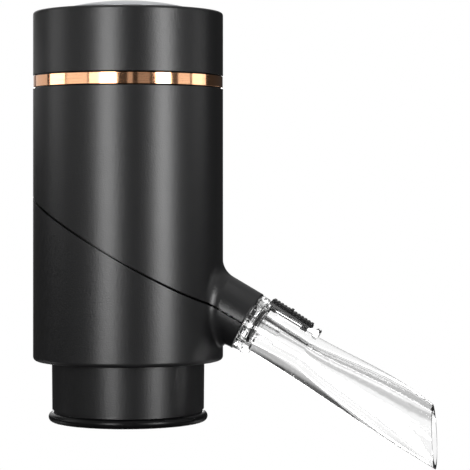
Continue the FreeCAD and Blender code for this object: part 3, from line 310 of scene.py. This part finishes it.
def blasted_aluminium():
    """Bead-blasted, clear-anodised aluminium."""
    # The beads leave a fine matt sparkle, drawn at 0.3 mm so that it shows.
    look = settings()
    material, tree, shader = new_finish(
        "blasted_aluminium", Base_Color=opaque(look.button_colour), Metallic=1.0, Roughness=0.42)
    surface_grain(tree, shader, 0.3, 0.004, (0.38, 0.46))
    return material


def clear_copolyester():
    """Clear copolyester, moulded against a polished steel."""
    # The melt flows on smoothly, so only a very faint ripple is left.
    material, tree, shader = new_finish(
        "clear_copolyester", Base_Color=opaque(linear("#FFFFFF")), Roughness=0.0, IOR=1.54,
        Transmission_Weight=1.0)
    surface_grain(tree, shader, 16.0, 0.01, (0.0, 0.03), detail=1.0)
    return material


def gloss_nitrile():
    """Black nitrile rubber, pressed in a polished mould."""
    # It is glossy off the mould and dulls in small patches.
    material, tree, shader = new_finish(
        "gloss_nitrile", Base_Color=opaque(linear("#070708")), Roughness=0.28, IOR=1.52,
        Specular_IOR_Level=0.2)
    surface_grain(tree, shader, 4.0, 0.01, (0.24, 0.34))
    return material


def matt_nitrile():
    """Black nitrile rubber, pressed in a blasted mould and left dry."""
    # A faint bloom keeps it dull and near black.
    material, tree, shader = new_finish(
        "matt_nitrile", Base_Color=opaque(linear("#050506")), IOR=1.52, Specular_IOR_Level=0.2)
    surface_grain(tree, shader, 1.0, 0.01, (0.5, 0.6))
    return material


def black_acetal():
    """Black acetal, moulded with a fine grain."""
    material, tree, shader = new_finish(
        "black_acetal", Base_Color=opaque(linear("#070708")), Roughness=0.28, IOR=1.48,
        Specular_IOR_Level=0.4)
    surface_grain(tree, shader, 0.6, 0.006, (0.24, 0.34))
    return material


def food_silicone():
    """Grey food-grade silicone, moulded."""
    # It is slightly milky, and dust dulls it unevenly.
    material, tree, shader = new_finish(
        "food_silicone", Base_Color=opaque(linear("#8C8D8E")), IOR=1.41,
        Subsurface_Weight=0.1, Subsurface_Scale=0.002)
    grain = surface_grain(tree, shader, 2.0, 0.02, (0.42, 0.6), detail=4.0)
    mottle(tree, shader, grain, "#868788", "#939495")
    return material


def natural_abs():
    """Natural off-white ABS out of a spark-eroded mould."""
    material, tree, shader = new_finish("natural_abs", Base_Color=opaque(linear("#DDDCD8")), IOR=1.53)
    grain = surface_grain(tree, shader, 0.5, 0.015, (0.45, 0.55))
    mottle(tree, shader, grain, "#D6D5D0", "#E2E1DE")
    return material


def glass_filled_nylon():
    """Black nylon filled with short glass fibres, moulded."""
    # The fibres near the skin show as paler flecks.
    material, tree, shader = new_finish(
        "glass_filled_nylon", Base_Color=opaque(linear("#1B1B1C")), IOR=1.53)
    grain = surface_grain(tree, shader, 0.4, 0.015, (0.4, 0.55), (1, 3, 3))
    mottle(tree, shader, grain, "#1B1B1C", "#3A3A3C", (0.6, 0.75))
    return material


def zinc_plated_steel():
    """Steel, zinc-plated in a barrel."""
    # Tumbling leaves patches of brighter and duller plating.
    material, tree, shader = new_finish(
        "zinc_plated_steel", Base_Color=opaque(linear("#C9CBCD")), Metallic=1.0)
    surface_grain(tree, shader, 0.8, 0.005, (0.22, 0.42), detail=3.0)
    return material


def drawn_nickel():
    """Steel, deep-drawn and nickel-plated."""
    # Drawing leaves fine lines along the axis.
    material, tree, shader = new_finish(
        "drawn_nickel", Base_Color=opaque(linear("#C4C2BC")), Metallic=1.0)
    surface_grain(tree, shader, 0.5, 0.005, (0.2, 0.38), (1, 1, 0.05))
    return material


def sintered_ferrite():
    """Sintered ferrite, and laminations under dark varnish."""
    material, tree, shader = new_finish(
        "sintered_ferrite", Base_Color=opaque(linear("#3B3B3D")), Metallic=0.3)
    grain = surface_grain(tree, shader, 0.5, 0.02, (0.5, 0.65), detail=4.0)
    mottle(tree, shader, grain, "#303032", "#4A4A4C")
    return material


def shrink_sleeve():
    """Blue PVC sleeve, shrunk on with heat."""
    # It keeps shallow wrinkles across the cell.
    material, tree, shader = new_finish("shrink_sleeve", Base_Color=opaque(linear("#2C5B94")), IOR=1.53)
    grain = surface_grain(tree, shader, 5.0, 0.08, (0.24, 0.36), (1, 1, 3))
    mottle(tree, shader, grain, "#27548B", "#32639E")
    return material


def solder_mask():
    """Green solder mask, printed over etched copper on a glass-epoxy board."""
    # Copper pours show as paler raised fields with narrow gaps about 3 mm apart.
    material, tree, shader = new_finish(
        "solder_mask", Base_Color=opaque(linear("#1D5C36")), Roughness=0.28, IOR=1.5)
    place = add_node(tree, "ShaderNodeTexCoord").outputs["Object"]
    fields = add_node(tree, "ShaderNodeTexVoronoi", {"Scale": 1 / (3 * MM)}, {"Vector": place},
                      feature="DISTANCE_TO_EDGE").outputs["Distance"]
    bump = add_node(tree, "ShaderNodeBump", {"Strength": 0.6, "Distance": 0.035 * MM},
                    {"Height": fields})
    tree.links.new(bump.outputs["Normal"], shader.inputs["Normal"])
    mottle(tree, shader, fields, "#123F25", "#2A7547", (0.04, 0.09))
    return material


# ---------------------------------------------------------------- thumb slider
def pad_thickness(share):
    """Thickness of the slider's pad at a share of its length from the collar's end."""
    look = settings()
    return look.pad_rear_thickness + (look.pad_front_thickness - look.pad_rear_thickness) * share


def crowned_section(half_width, thickness, radius, steps):
    """Section of the pad across the spout, from one lower corner over both shoulders to the other."""
    radius = min(radius, thickness * PAD_SHOULDER_SHARE)
    side = [(half_width, 0.0)]
    for step in range(steps + 1):
        angle = math.pi / 2 * step / steps
        side.append((half_width - radius + radius * math.cos(angle),
                     thickness - radius + radius * math.sin(angle)))
    return side + [(-across, up) for across, up in reversed(side)]


def slider_pad(rear, length, half_width, under):
    """Wedge-shaped pad with rounded shoulders and rounded ends."""
    look = settings()
    form = bmesh.new()
    end_round = look.pad_end_round
    places = [end_round * (1 - math.cos(math.pi / 2 * step / PAD_END_STEPS))
              for step in range(PAD_END_STEPS + 1)]
    places += [length - place for place in reversed(places)]
    rings = []
    for place in places:
        from_end = min(place, length - place, end_round)
        drop = 1 - math.sqrt(max(0.0, 1 - (1 - from_end / end_round) ** 2))
        thickness = pad_thickness(place / length) * (1 - PAD_END_DROP * drop)
        section = crowned_section(half_width, thickness, look.pad_shoulder, PAD_SHOULDER_STEPS)
        rings.append([form.verts.new((rear + place, across, under + up)) for across, up in section])
    for near, far in zip(rings, rings[1:]):
        for index in range(len(near)):
            following = (index + 1) % len(near)
            form.faces.new((near[index], near[following], far[following], far[index]))
    form.faces.new(rings[0])
    form.faces.new(rings[-1])
    bmesh.ops.recalc_face_normals(form, faces=form.faces)
    return form


def slider_ribs(rear, length, half_width, under, material):
    """Cross ribs on the pad, one of them taller, from a tree that follows the pad's slope."""
    look = settings()
    pitch = length / look.rib_count
    first_top = under + pad_thickness(0.5 / look.rib_count) + look.rib_rise
    last_top = under + pad_thickness(1 - 0.5 / look.rib_count) + look.rib_rise
    depth = look.pad_front_thickness
    sizes = {
        "Count": look.rib_count, "Tall rib": look.tall_rib,
        "Extra rise": look.tall_rib_rise - look.rib_rise,
        "Rib width": look.rib_width, "Length across": 2 * half_width, "Depth": depth,
        "Shoulder": look.pad_shoulder,
        "First rib": Vector((rear + 0.5 * pitch, 0, first_top)),
        "Step": Vector((pitch, 0, (last_top - first_top) / (look.rib_count - 1))),
        "Sunk": Vector((-look.rib_width / 2, 0, -depth / 2)),
    }
    tree, given, out = new_tree("slider_ribs", sizes)
    outline = add_node(tree, "GeometryNodeCurvePrimitiveQuadrilateral",
                       links={"Width": given["Length across"], "Height": given["Depth"]})
    rounded = add_node(tree, "GeometryNodeFilletCurve",
                       {"Count": RIB_CORNER_STEPS, "Limit Radius": True},
                       {"Curve": outline.outputs["Curve"], "Radius": given["Shoulder"]}, mode="POLY")
    face = add_node(tree, "GeometryNodeFillCurve", links={"Curve": rounded.outputs["Curve"]},
                    mode="NGONS")
    thickness = add_node(tree, "ShaderNodeCombineXYZ", links={"Z": given["Rib width"]})
    raised = add_node(tree, "GeometryNodeExtrudeMesh", {"Individual": False},
                      {"Mesh": face.outputs["Mesh"], "Offset": thickness.outputs["Vector"]})
    back = add_node(tree, "GeometryNodeFlipFaces", links={"Mesh": face.outputs["Mesh"]})
    both = add_node(tree, "GeometryNodeJoinGeometry", links={"Geometry": raised.outputs["Mesh"]})
    tree.links.new(back.outputs["Mesh"], both.inputs["Geometry"])
    closed = add_node(tree, "GeometryNodeMergeByDistance", {"Distance": WELD},
                      {"Geometry": both.outputs["Geometry"]})
    rib = add_node(tree, "GeometryNodeTransform", {"Rotation": (math.pi / 2, 0, math.pi / 2)},
                   {"Geometry": closed.outputs["Geometry"], "Translation": given["Sunk"]})
    points = add_node(tree, "GeometryNodeMeshLine",
                      links={"Count": given["Count"], "Start Location": given["First rib"],
                             "Offset": given["Step"]})
    number = add_node(tree, "GeometryNodeInputIndex").outputs["Index"]
    tall = add_node(tree, "FunctionNodeCompare", links={"A": number, "B": given["Tall rib"]},
                    data_type="INT", operation="EQUAL")
    rise = add_node(tree, "ShaderNodeCombineXYZ", links={"Z": given["Extra rise"]})
    lifted = add_node(tree, "GeometryNodeSetPosition",
                      links={"Geometry": points.outputs["Mesh"], "Selection": tall.outputs["Result"],
                             "Offset": rise.outputs["Vector"]})
    copies = add_node(tree, "GeometryNodeInstanceOnPoints",
                      links={"Points": lifted.outputs["Geometry"], "Instance": rib.outputs["Geometry"]})
    finish_tree(tree, copies.outputs["Instances"], material, out)
    return baked(tree, sizes)


def slider_feet(turn, under):
    """Feet and runner of the slider, as its part has them below the pad."""
    form = bmesh.new()
    form.from_mesh(frame["nodes"]["vent_slider"].data)
    bmesh.ops.remove_doubles(form, verts=form.verts, dist=WELD)
    form.transform(turn.inverted())
    cut = bmesh.ops.bisect_plane(
        form, geom=form.verts[:] + form.edges[:] + form.faces[:], dist=CUT_TOLERANCE,
        plane_co=(0, 0, under - FEET_CUT), plane_no=(0, 0, 1), clear_outer=True)
    edges = [item for item in cut["geom_cut"] if isinstance(item, bmesh.types.BMEdge)]
    bmesh.ops.holes_fill(form, edges=edges)
    mesh = bpy.data.meshes.new("slider_feet")
    form.to_mesh(mesh)
    form.free()
    return mesh


# ---------------------------------------------------------------- studio
def seen_from_camera(azimuth, distance, height):
    """Place at an azimuth in degrees to the right of the line from the object to the camera."""
    look = settings()
    towards = Vector((look.camera_place[0], look.camera_place[1], 0)).normalized()
    right = Vector((-towards.y, towards.x, 0))
    angle = math.radians(azimuth)
    flat = towards * math.cos(angle) + right * math.sin(angle)
    return flat * distance + Vector((0, 0, height))


def hang_lamp(name, place, target, width, height, radiance):
    """Rectangular lamp of an even radiance, aimed at a target and hidden from the camera."""
    lamp = bpy.data.lights.new(name, "AREA")
    lamp.shape = "RECTANGLE"
    lamp.size = width
    lamp.size_y = height
    lamp.energy = radiance * math.pi * width * height
    fitting = bpy.data.objects.new(name, lamp)
    bpy.context.scene.collection.objects.link(fitting)
    fitting.visible_camera = False
    fitting.location = place
    fitting.rotation_euler = (target - place).to_track_quat("-Z", "Y").to_euler()


def soft_box(distance, name, azimuth, span, middle, height, radiance):
    """Upright soft box that spans an angle in degrees as the object sees it."""
    place = seen_from_camera(azimuth, distance, middle)
    width = 2 * distance * math.tan(math.radians(span / 2))
    hang_lamp(name, place, Vector((0, 0, middle)), width, height, radiance)


def studio_world():
    """White beyond the object for the camera, shaded for clear plastic, dim for gloss and fill."""
    look = settings()
    world = bpy.data.worlds.new("studio")
    bpy.context.scene.world = world
    world.use_nodes = True
    tree = world.node_tree
    tree.nodes.clear()
    rays = add_node(tree, "ShaderNodeLightPath").outputs
    direction = add_node(tree, "ShaderNodeTexCoord").outputs["Generated"]
    # gloss sees a bright backdrop high behind the object, a grey ceiling and otherwise a dim room
    height = add_node(tree, "ShaderNodeSeparateXYZ", links={"Vector": direction}).outputs["Z"]
    backdrop_middle = seen_from_camera(BACKDROP_AZIMUTH, 1.0, BACKDROP_RISE).normalized()
    behind = add_node(tree, "ShaderNodeVectorMath", {1: backdrop_middle}, {0: direction},
                      operation="DOT_PRODUCT").outputs["Value"]
    backdrop = add_node(tree, "ShaderNodeMapRange", BACKDROP, {"Value": behind},
                        interpolation_type="SMOOTHSTEP").outputs["Result"]
    ceiling = add_node(tree, "ShaderNodeMapRange", CEILING, {"Value": height},
                       interpolation_type="SMOOTHSTEP").outputs["Result"]
    room = add_node(tree, "ShaderNodeMath", links={0: backdrop, 1: ceiling},
                    operation="MAXIMUM").outputs["Value"]
    # clear plastic sees a grey line at the horizon, a grey ceiling and a dark flag far to the right
    into_line = add_node(tree, "ShaderNodeMapRange", INTO_LINE, {"Value": height},
                         interpolation_type="SMOOTHSTEP").outputs["Result"]
    out_of_line = add_node(tree, "ShaderNodeMapRange", OUT_OF_LINE,
                           {"Value": height, "To Min": into_line},
                           interpolation_type="SMOOTHSTEP").outputs["Result"]
    grey_above = add_node(tree, "ShaderNodeMapRange", GREY_CEILING,
                          {"Value": height, "To Min": out_of_line},
                          interpolation_type="SMOOTHSTEP").outputs["Result"]
    aside = add_node(tree, "ShaderNodeVectorMath", {1: FLAG_MIDDLE}, {0: direction},
                     operation="DOT_PRODUCT").outputs["Value"]
    flag = add_node(tree, "ShaderNodeMapRange", FLAG, {"Value": aside},
                    interpolation_type="SMOOTHSTEP").outputs["Result"]
    beyond = add_node(tree, "ShaderNodeMath", links={0: grey_above, 1: flag},
                      operation="MULTIPLY").outputs["Value"]
    gloss = add_node(tree, "ShaderNodeMix", {2: look.fill_light},
                     {0: rays["Is Glossy Ray"], 3: room}).outputs[0]
    clear = add_node(tree, "ShaderNodeMix",
                     links={0: rays["Is Transmission Ray"], 2: gloss, 3: beyond}).outputs[0]
    shown = add_node(tree, "ShaderNodeMix", {3: 1.0}, {0: rays["Is Camera Ray"], 2: clear}).outputs[0]
    background = add_node(tree, "ShaderNodeBackground", {"Color": (1, 1, 1, 1)}, {"Strength": shown})
    add_node(tree, "ShaderNodeOutputWorld", links={"Surface": background.outputs["Background"]})


def floor_paper():
    """Pale studio paper that shows as white beyond the object's shadow."""
    material, tree, shader = new_finish(
        "floor_paper", Base_Color=opaque(linear("#F4F4F4")), Roughness=0.9)
    surface_grain(tree, shader, 1.5, 0.05)
    rays = add_node(tree, "ShaderNodeLightPath").outputs
    place = add_node(tree, "ShaderNodeTexCoord").outputs["Object"]
    away = add_node(tree, "ShaderNodeVectorMath", {1: (0, 0, settings().floor_height)}, {0: place},
                    operation="DISTANCE").outputs["Value"]
    # gloss sees the floor darker under the object and paler farther out: a painted shadow in its
    # reflections
    gloss_painted_shadow = add_node(tree, "ShaderNodeMapRange", FLOOR_GLOSS_PAINTED_SHADOW, {"Value": away},
                    interpolation_type="SMOOTHSTEP").outputs["Result"]
    direct = add_node(tree, "ShaderNodeMath",
                      links={0: rays["Is Camera Ray"], 1: rays["Is Transmission Ray"]},
                      operation="MAXIMUM").outputs["Value"]
    glossy = add_node(tree, "ShaderNodeMix", {2: 1.0}, {0: rays["Is Glossy Ray"], 3: gloss_painted_shadow}).outputs[0]
    glow = add_node(tree, "ShaderNodeMix", {3: 1.0},
                    {0: rays["Is Transmission Ray"], 2: glossy}).outputs[0]
    lift = add_node(tree, "ShaderNodeEmission", {"Color": (1, 1, 1, 1)},
                    {"Strength": glow}).outputs["Emission"]
    share = add_node(tree, "ShaderNodeMapRange", FLOOR_WHITE, {"Value": away},
                     interpolation_type="SMOOTHSTEP").outputs["Result"]
    seen = add_node(tree, "ShaderNodeMath", links={0: share, 1: direct},
                    operation="MULTIPLY").outputs["Value"]
    lifted = add_node(tree, "ShaderNodeMath", links={0: seen, 1: rays["Is Glossy Ray"]},
                      operation="MAXIMUM").outputs["Value"]
    mix = add_node(tree, "ShaderNodeMixShader", links={0: lifted, 1: shader.outputs["BSDF"], 2: lift})
    out = [node for node in tree.nodes if node.type == "OUTPUT_MATERIAL"][0]
    tree.links.new(mix.outputs["Shader"], out.inputs["Surface"])
    return material


def floor():
    """Round sheet of paper well below the part, which a bottle would hold up."""
    look = settings()
    mesh = bpy.data.meshes.new("studio_floor")
    form = bmesh.new()
    bmesh.ops.create_circle(form, cap_ends=True, segments=FLOOR_SIDES, radius=look.floor_radius)
    bmesh.ops.translate(form, verts=form.verts, vec=(0, 0, look.floor_height))
    form.to_mesh(mesh)
    form.free()
    sheet = bpy.data.objects.new("studio_floor", mesh)
    bpy.context.scene.collection.objects.link(sheet)
    mesh.materials.append(floor_paper())


def camera():
    """Level camera a little to the spout's side, with its lens shifted down."""
    look = settings()
    lens = bpy.data.cameras.new("camera")
    lens.lens = look.focal_length
    lens.sensor_width = SENSOR_WIDTH
    lens.shift_y = look.lens_shift
    lens.clip_start = NEAREST_SEEN
    eye = bpy.data.objects.new("camera", lens)
    bpy.context.scene.collection.objects.link(eye)
    eye.location = look.camera_place
    eye.rotation_euler = (math.pi / 2, 0, look.camera_turn)
    bpy.context.scene.camera = eye


# ---------------------------------------------------------------- settings
class DispenserSettings(bpy.types.PropertyGroup):
    """Sizes and colours that a user would change."""

    paint_colour: FloatVectorProperty(
        name="Paint", description="Soft-touch paint of body, crown and base", subtype="COLOR",
        default=linear("#121213"), min=0, max=1)
    gold_colour: FloatVectorProperty(
        name="Band", description="Plating of the trim band", subtype="COLOR",
        default=linear("#F2B68C"), min=0, max=1)
    button_colour: FloatVectorProperty(
        name="Button", description="Anodised button", subtype="COLOR",
        default=linear("#C3C5C8"), min=0, max=1)
    # the trim band is painted black inside this radius, as painted shade for the shadow lines at its
    # edges
    band_painted_shade_radius: FloatProperty(
        name="Band recess", description="Radius under which the trim band is lacquered black",
        unit="LENGTH", default=32.1 * MM)
    rib_count: IntProperty(name="Ribs", description="Ribs on the thumb slider", default=12, min=2)
    tall_rib: IntProperty(
        name="Tall rib", description="Which rib stands taller, counted from 0", default=5, min=0)
    rib_width: FloatProperty(
        name="Rib width", description="Width of a rib along the spout", unit="LENGTH", default=0.75 * MM)
    rib_rise: FloatProperty(
        name="Rib rise", description="How far a rib stands over the pad", unit="LENGTH",
        default=0.16 * MM)
    tall_rib_rise: FloatProperty(
        name="Tall rib rise", description="How far the tall rib stands over the pad", unit="LENGTH",
        default=0.55 * MM)
    rib_stand: FloatProperty(
        name="Rib stand", description="How far a rib stands out at the pad's sides", unit="LENGTH",
        default=0.08 * MM)
    pad_rear_thickness: FloatProperty(
        name="Pad at the collar", description="Thickness of the pad next to the collar", unit="LENGTH",
        default=2.05 * MM)
    pad_front_thickness: FloatProperty(
        name="Pad at the front", description="Thickness of the pad at its far end", unit="LENGTH",
        default=1.45 * MM)
    pad_shoulder: FloatProperty(
        name="Pad shoulder", description="Radius of the pad's rounded shoulders", unit="LENGTH",
        default=1.2 * MM)
    pad_end_round: FloatProperty(
        name="Pad ends", description="Length over which the pad's ends round down", unit="LENGTH",
        default=0.8 * MM)
    slider_edge: FloatProperty(
        name="Slider edges", description="Width of the softened edges", unit="LENGTH", default=0.06 * MM)
    camera_place: FloatVectorProperty(
        name="Camera", description="Place of the camera", subtype="XYZ", unit="LENGTH",
        default=(0.1603, -0.6641, 0.0799))
    camera_turn: FloatProperty(
        name="Camera turn", description="Turn of the level camera about the vertical", unit="ROTATION",
        default=math.radians(10.5))
    focal_length: FloatProperty(
        name="Lens", description="Focal length in millimetres on a 36 mm sensor", default=152.4, min=1)
    lens_shift: FloatProperty(name="Shift", description="Upward shift of the lens", default=-0.104)
    fill_light: FloatProperty(
        name="Fill", description="Strength of the even light from all round", default=0.25, min=0)
    floor_height: FloatProperty(
        name="Floor", description="Height of the floor under the bottle's lip", unit="LENGTH",
        default=-0.5)
    floor_radius: FloatProperty(
        name="Floor radius", description="Radius of the floor's sheet", unit="LENGTH", default=1.6)


# ---------------------------------------------------------------- operators
class DISPENSER_OT_body(bpy.types.Operator):
    """Paint the two body shells, the crown and the base collar"""
    bl_idname = "dispenser.body"
    bl_label = "Body, crown and base"

    def execute(self, context):
        dress_all(soft_touch_paint(), "upper_shell", "lower_shell", "crown_cap", "base_collar")
        return {"FINISHED"}


class DISPENSER_OT_trim(bpy.types.Operator):
    """Plate the trim band and blast the button"""
    bl_idname = "dispenser.trim"
    bl_label = "Band and button"

    def execute(self, context):
        dress("trim_band", rose_gold_plating())
        dress("press_button", blasted_aluminium())
        return {"FINISHED"}


class DISPENSER_OT_seals(bpy.types.Operator):
    """Finish the rubber and silicone pieces"""
    bl_idname = "dispenser.seals"
    bl_label = "Rings, seals and hoses"

    def execute(self, context):
        dress_all(gloss_nitrile(), "base_ring", "air_duckbill", "cell_pad", "pump_diaphragm")
        dress("nozzle_o_ring", matt_nitrile())
        dress_all(food_silicone(), "neck_seal", "button_return_dome", "wine_tube", "air_hose",
                  "spigot_seal")
        return {"FINISHED"}


class DISPENSER_OT_spout(bpy.types.Operator):
    """Finish the clear spout and its nozzle"""
    bl_idname = "dispenser.spout"
    bl_label = "Spout and nozzle"

    def execute(self, context):
        dress_all(clear_copolyester(), "spout_tube", "outlet_nozzle")
        return {"FINISHED"}


class DISPENSER_OT_slider(bpy.types.Operator):
    """Build the thumb slider with its crowned pad, ribs and feet"""
    bl_idname = "dispenser.slider"
    bl_label = "Thumb slider"

    def execute(self, context):
        look = settings()
        turn = spout_frame()
        corners = [turn.inverted() @ vertex.co for vertex in frame["nodes"]["vent_slider"].data.vertices]
        rear = min(corner.x for corner in corners)
        length = max(corner.x for corner in corners) - rear
        half_width = max(corner.y for corner in corners)
        top = max(corner.z for corner in corners)
        crest = look.tall_rib_rise + pad_thickness((look.tall_rib + 0.5) / look.rib_count)
        under = top - crest
        acetal = black_acetal()
        form = slider_pad(rear, length, half_width - look.rib_stand, under)
        form.from_mesh(slider_ribs(rear, length, half_width, under, acetal))
        form.from_mesh(slider_feet(turn, under))
        form.transform(turn)
        piece = new_piece("thumb_slider", form, acetal, "slider", "vent_slider")
        soften = piece.modifiers.new("soften", "BEVEL")
        soften.width = look.slider_edge
        soften.segments = SOFTENED_FACES
        soften.limit_method = "ANGLE"
        soften.angle_limit = SOFTENED_CORNER
        soften.harden_normals = True
        return {"FINISHED"}


class DISPENSER_OT_works(bpy.types.Operator):
    """Finish the pump, motor, cell, decks, board and screws"""
    bl_idname = "dispenser.works"
    bl_label = "Works inside"

    def execute(self, context):
        dress_all(natural_abs(), "button_guide", "bottle_hub", "lower_deck", "upper_deck", "tact_switch",
                  "switch_plunger")
        dress_all(glass_filled_nylon(), "pump_cover", "valve_plate", "pump_body", "motor_end_cap",
                  "eccentric_wheel", "swing_plate")
        dress_all(zinc_plated_steel(), "hub_screws", "shell_screws", "deck_screws", "board_screws",
                  "pump_screws", "motor_screws", "deck_posts")
        dress_all(drawn_nickel(), "motor_can", "motor_shaft", "drive_pin", "charge_socket")
        dress_all(sintered_ferrite(), "motor_magnets", "motor_armature")
        dress("lithium_cell", shrink_sleeve())
        dress("main_board", solder_mask())
        return {"FINISHED"}


class DISPENSER_OT_studio(bpy.types.Operator):
    """Set the floor, the lamps, the white surroundings and the camera"""
    bl_idname = "dispenser.studio"
    bl_label = "Studio"

    def execute(self, context):
        scene = context.scene
        scene.view_settings.view_transform = "Standard"
        floor()
        camera()
        studio_world()
        for lamp in LAMPS:
            soft_box(LAMP_DISTANCE, *lamp)
        for line in BAND_LINES:
            soft_box(LINE_DISTANCE, *line)
        hang_lamp("overhead", Vector((0, 0, OVERHEAD_HEIGHT)), Vector((0, 0, 0)),
                  OVERHEAD_SIDE, OVERHEAD_SIDE, OVERHEAD_RADIANCE)
        return {"FINISHED"}


STEPS = ("body", "trim", "seals", "spout", "slider", "works", "studio")


class DISPENSER_PT_steps(bpy.types.Panel):
    """Lists the settings and the steps in the 3D view's sidebar"""
    bl_idname = "DISPENSER_PT_steps"
    bl_label = "Wine dispenser"
    bl_space_type = "VIEW_3D"
    bl_region_type = "UI"
    bl_category = "Dispenser"

    def draw(self, context):
        look = context.scene.wine_dispenser
        for name in look.__annotations__:
            self.layout.prop(look, name)
        for step in STEPS:
            self.layout.operator("dispenser." + step)


CLASSES = (
    DispenserSettings, DISPENSER_OT_body, DISPENSER_OT_trim, DISPENSER_OT_seals, DISPENSER_OT_spout,
    DISPENSER_OT_slider, DISPENSER_OT_works, DISPENSER_OT_studio, DISPENSER_PT_steps,
)


def register():
    """Register the classes and the settings."""
    for item in CLASSES:
        bpy.utils.register_class(item)
    bpy.types.Scene.wine_dispenser = PointerProperty(type=DispenserSettings)


def unregister():
    """Take the settings and the classes away again."""
    del bpy.types.Scene.wine_dispenser
    for item in reversed(CLASSES):
        bpy.utils.unregister_class(item)


def main():
    """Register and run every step."""
    register()
    for step in STEPS:
        getattr(bpy.ops.dispenser, step)()


if __name__ == "__main__":
    main()
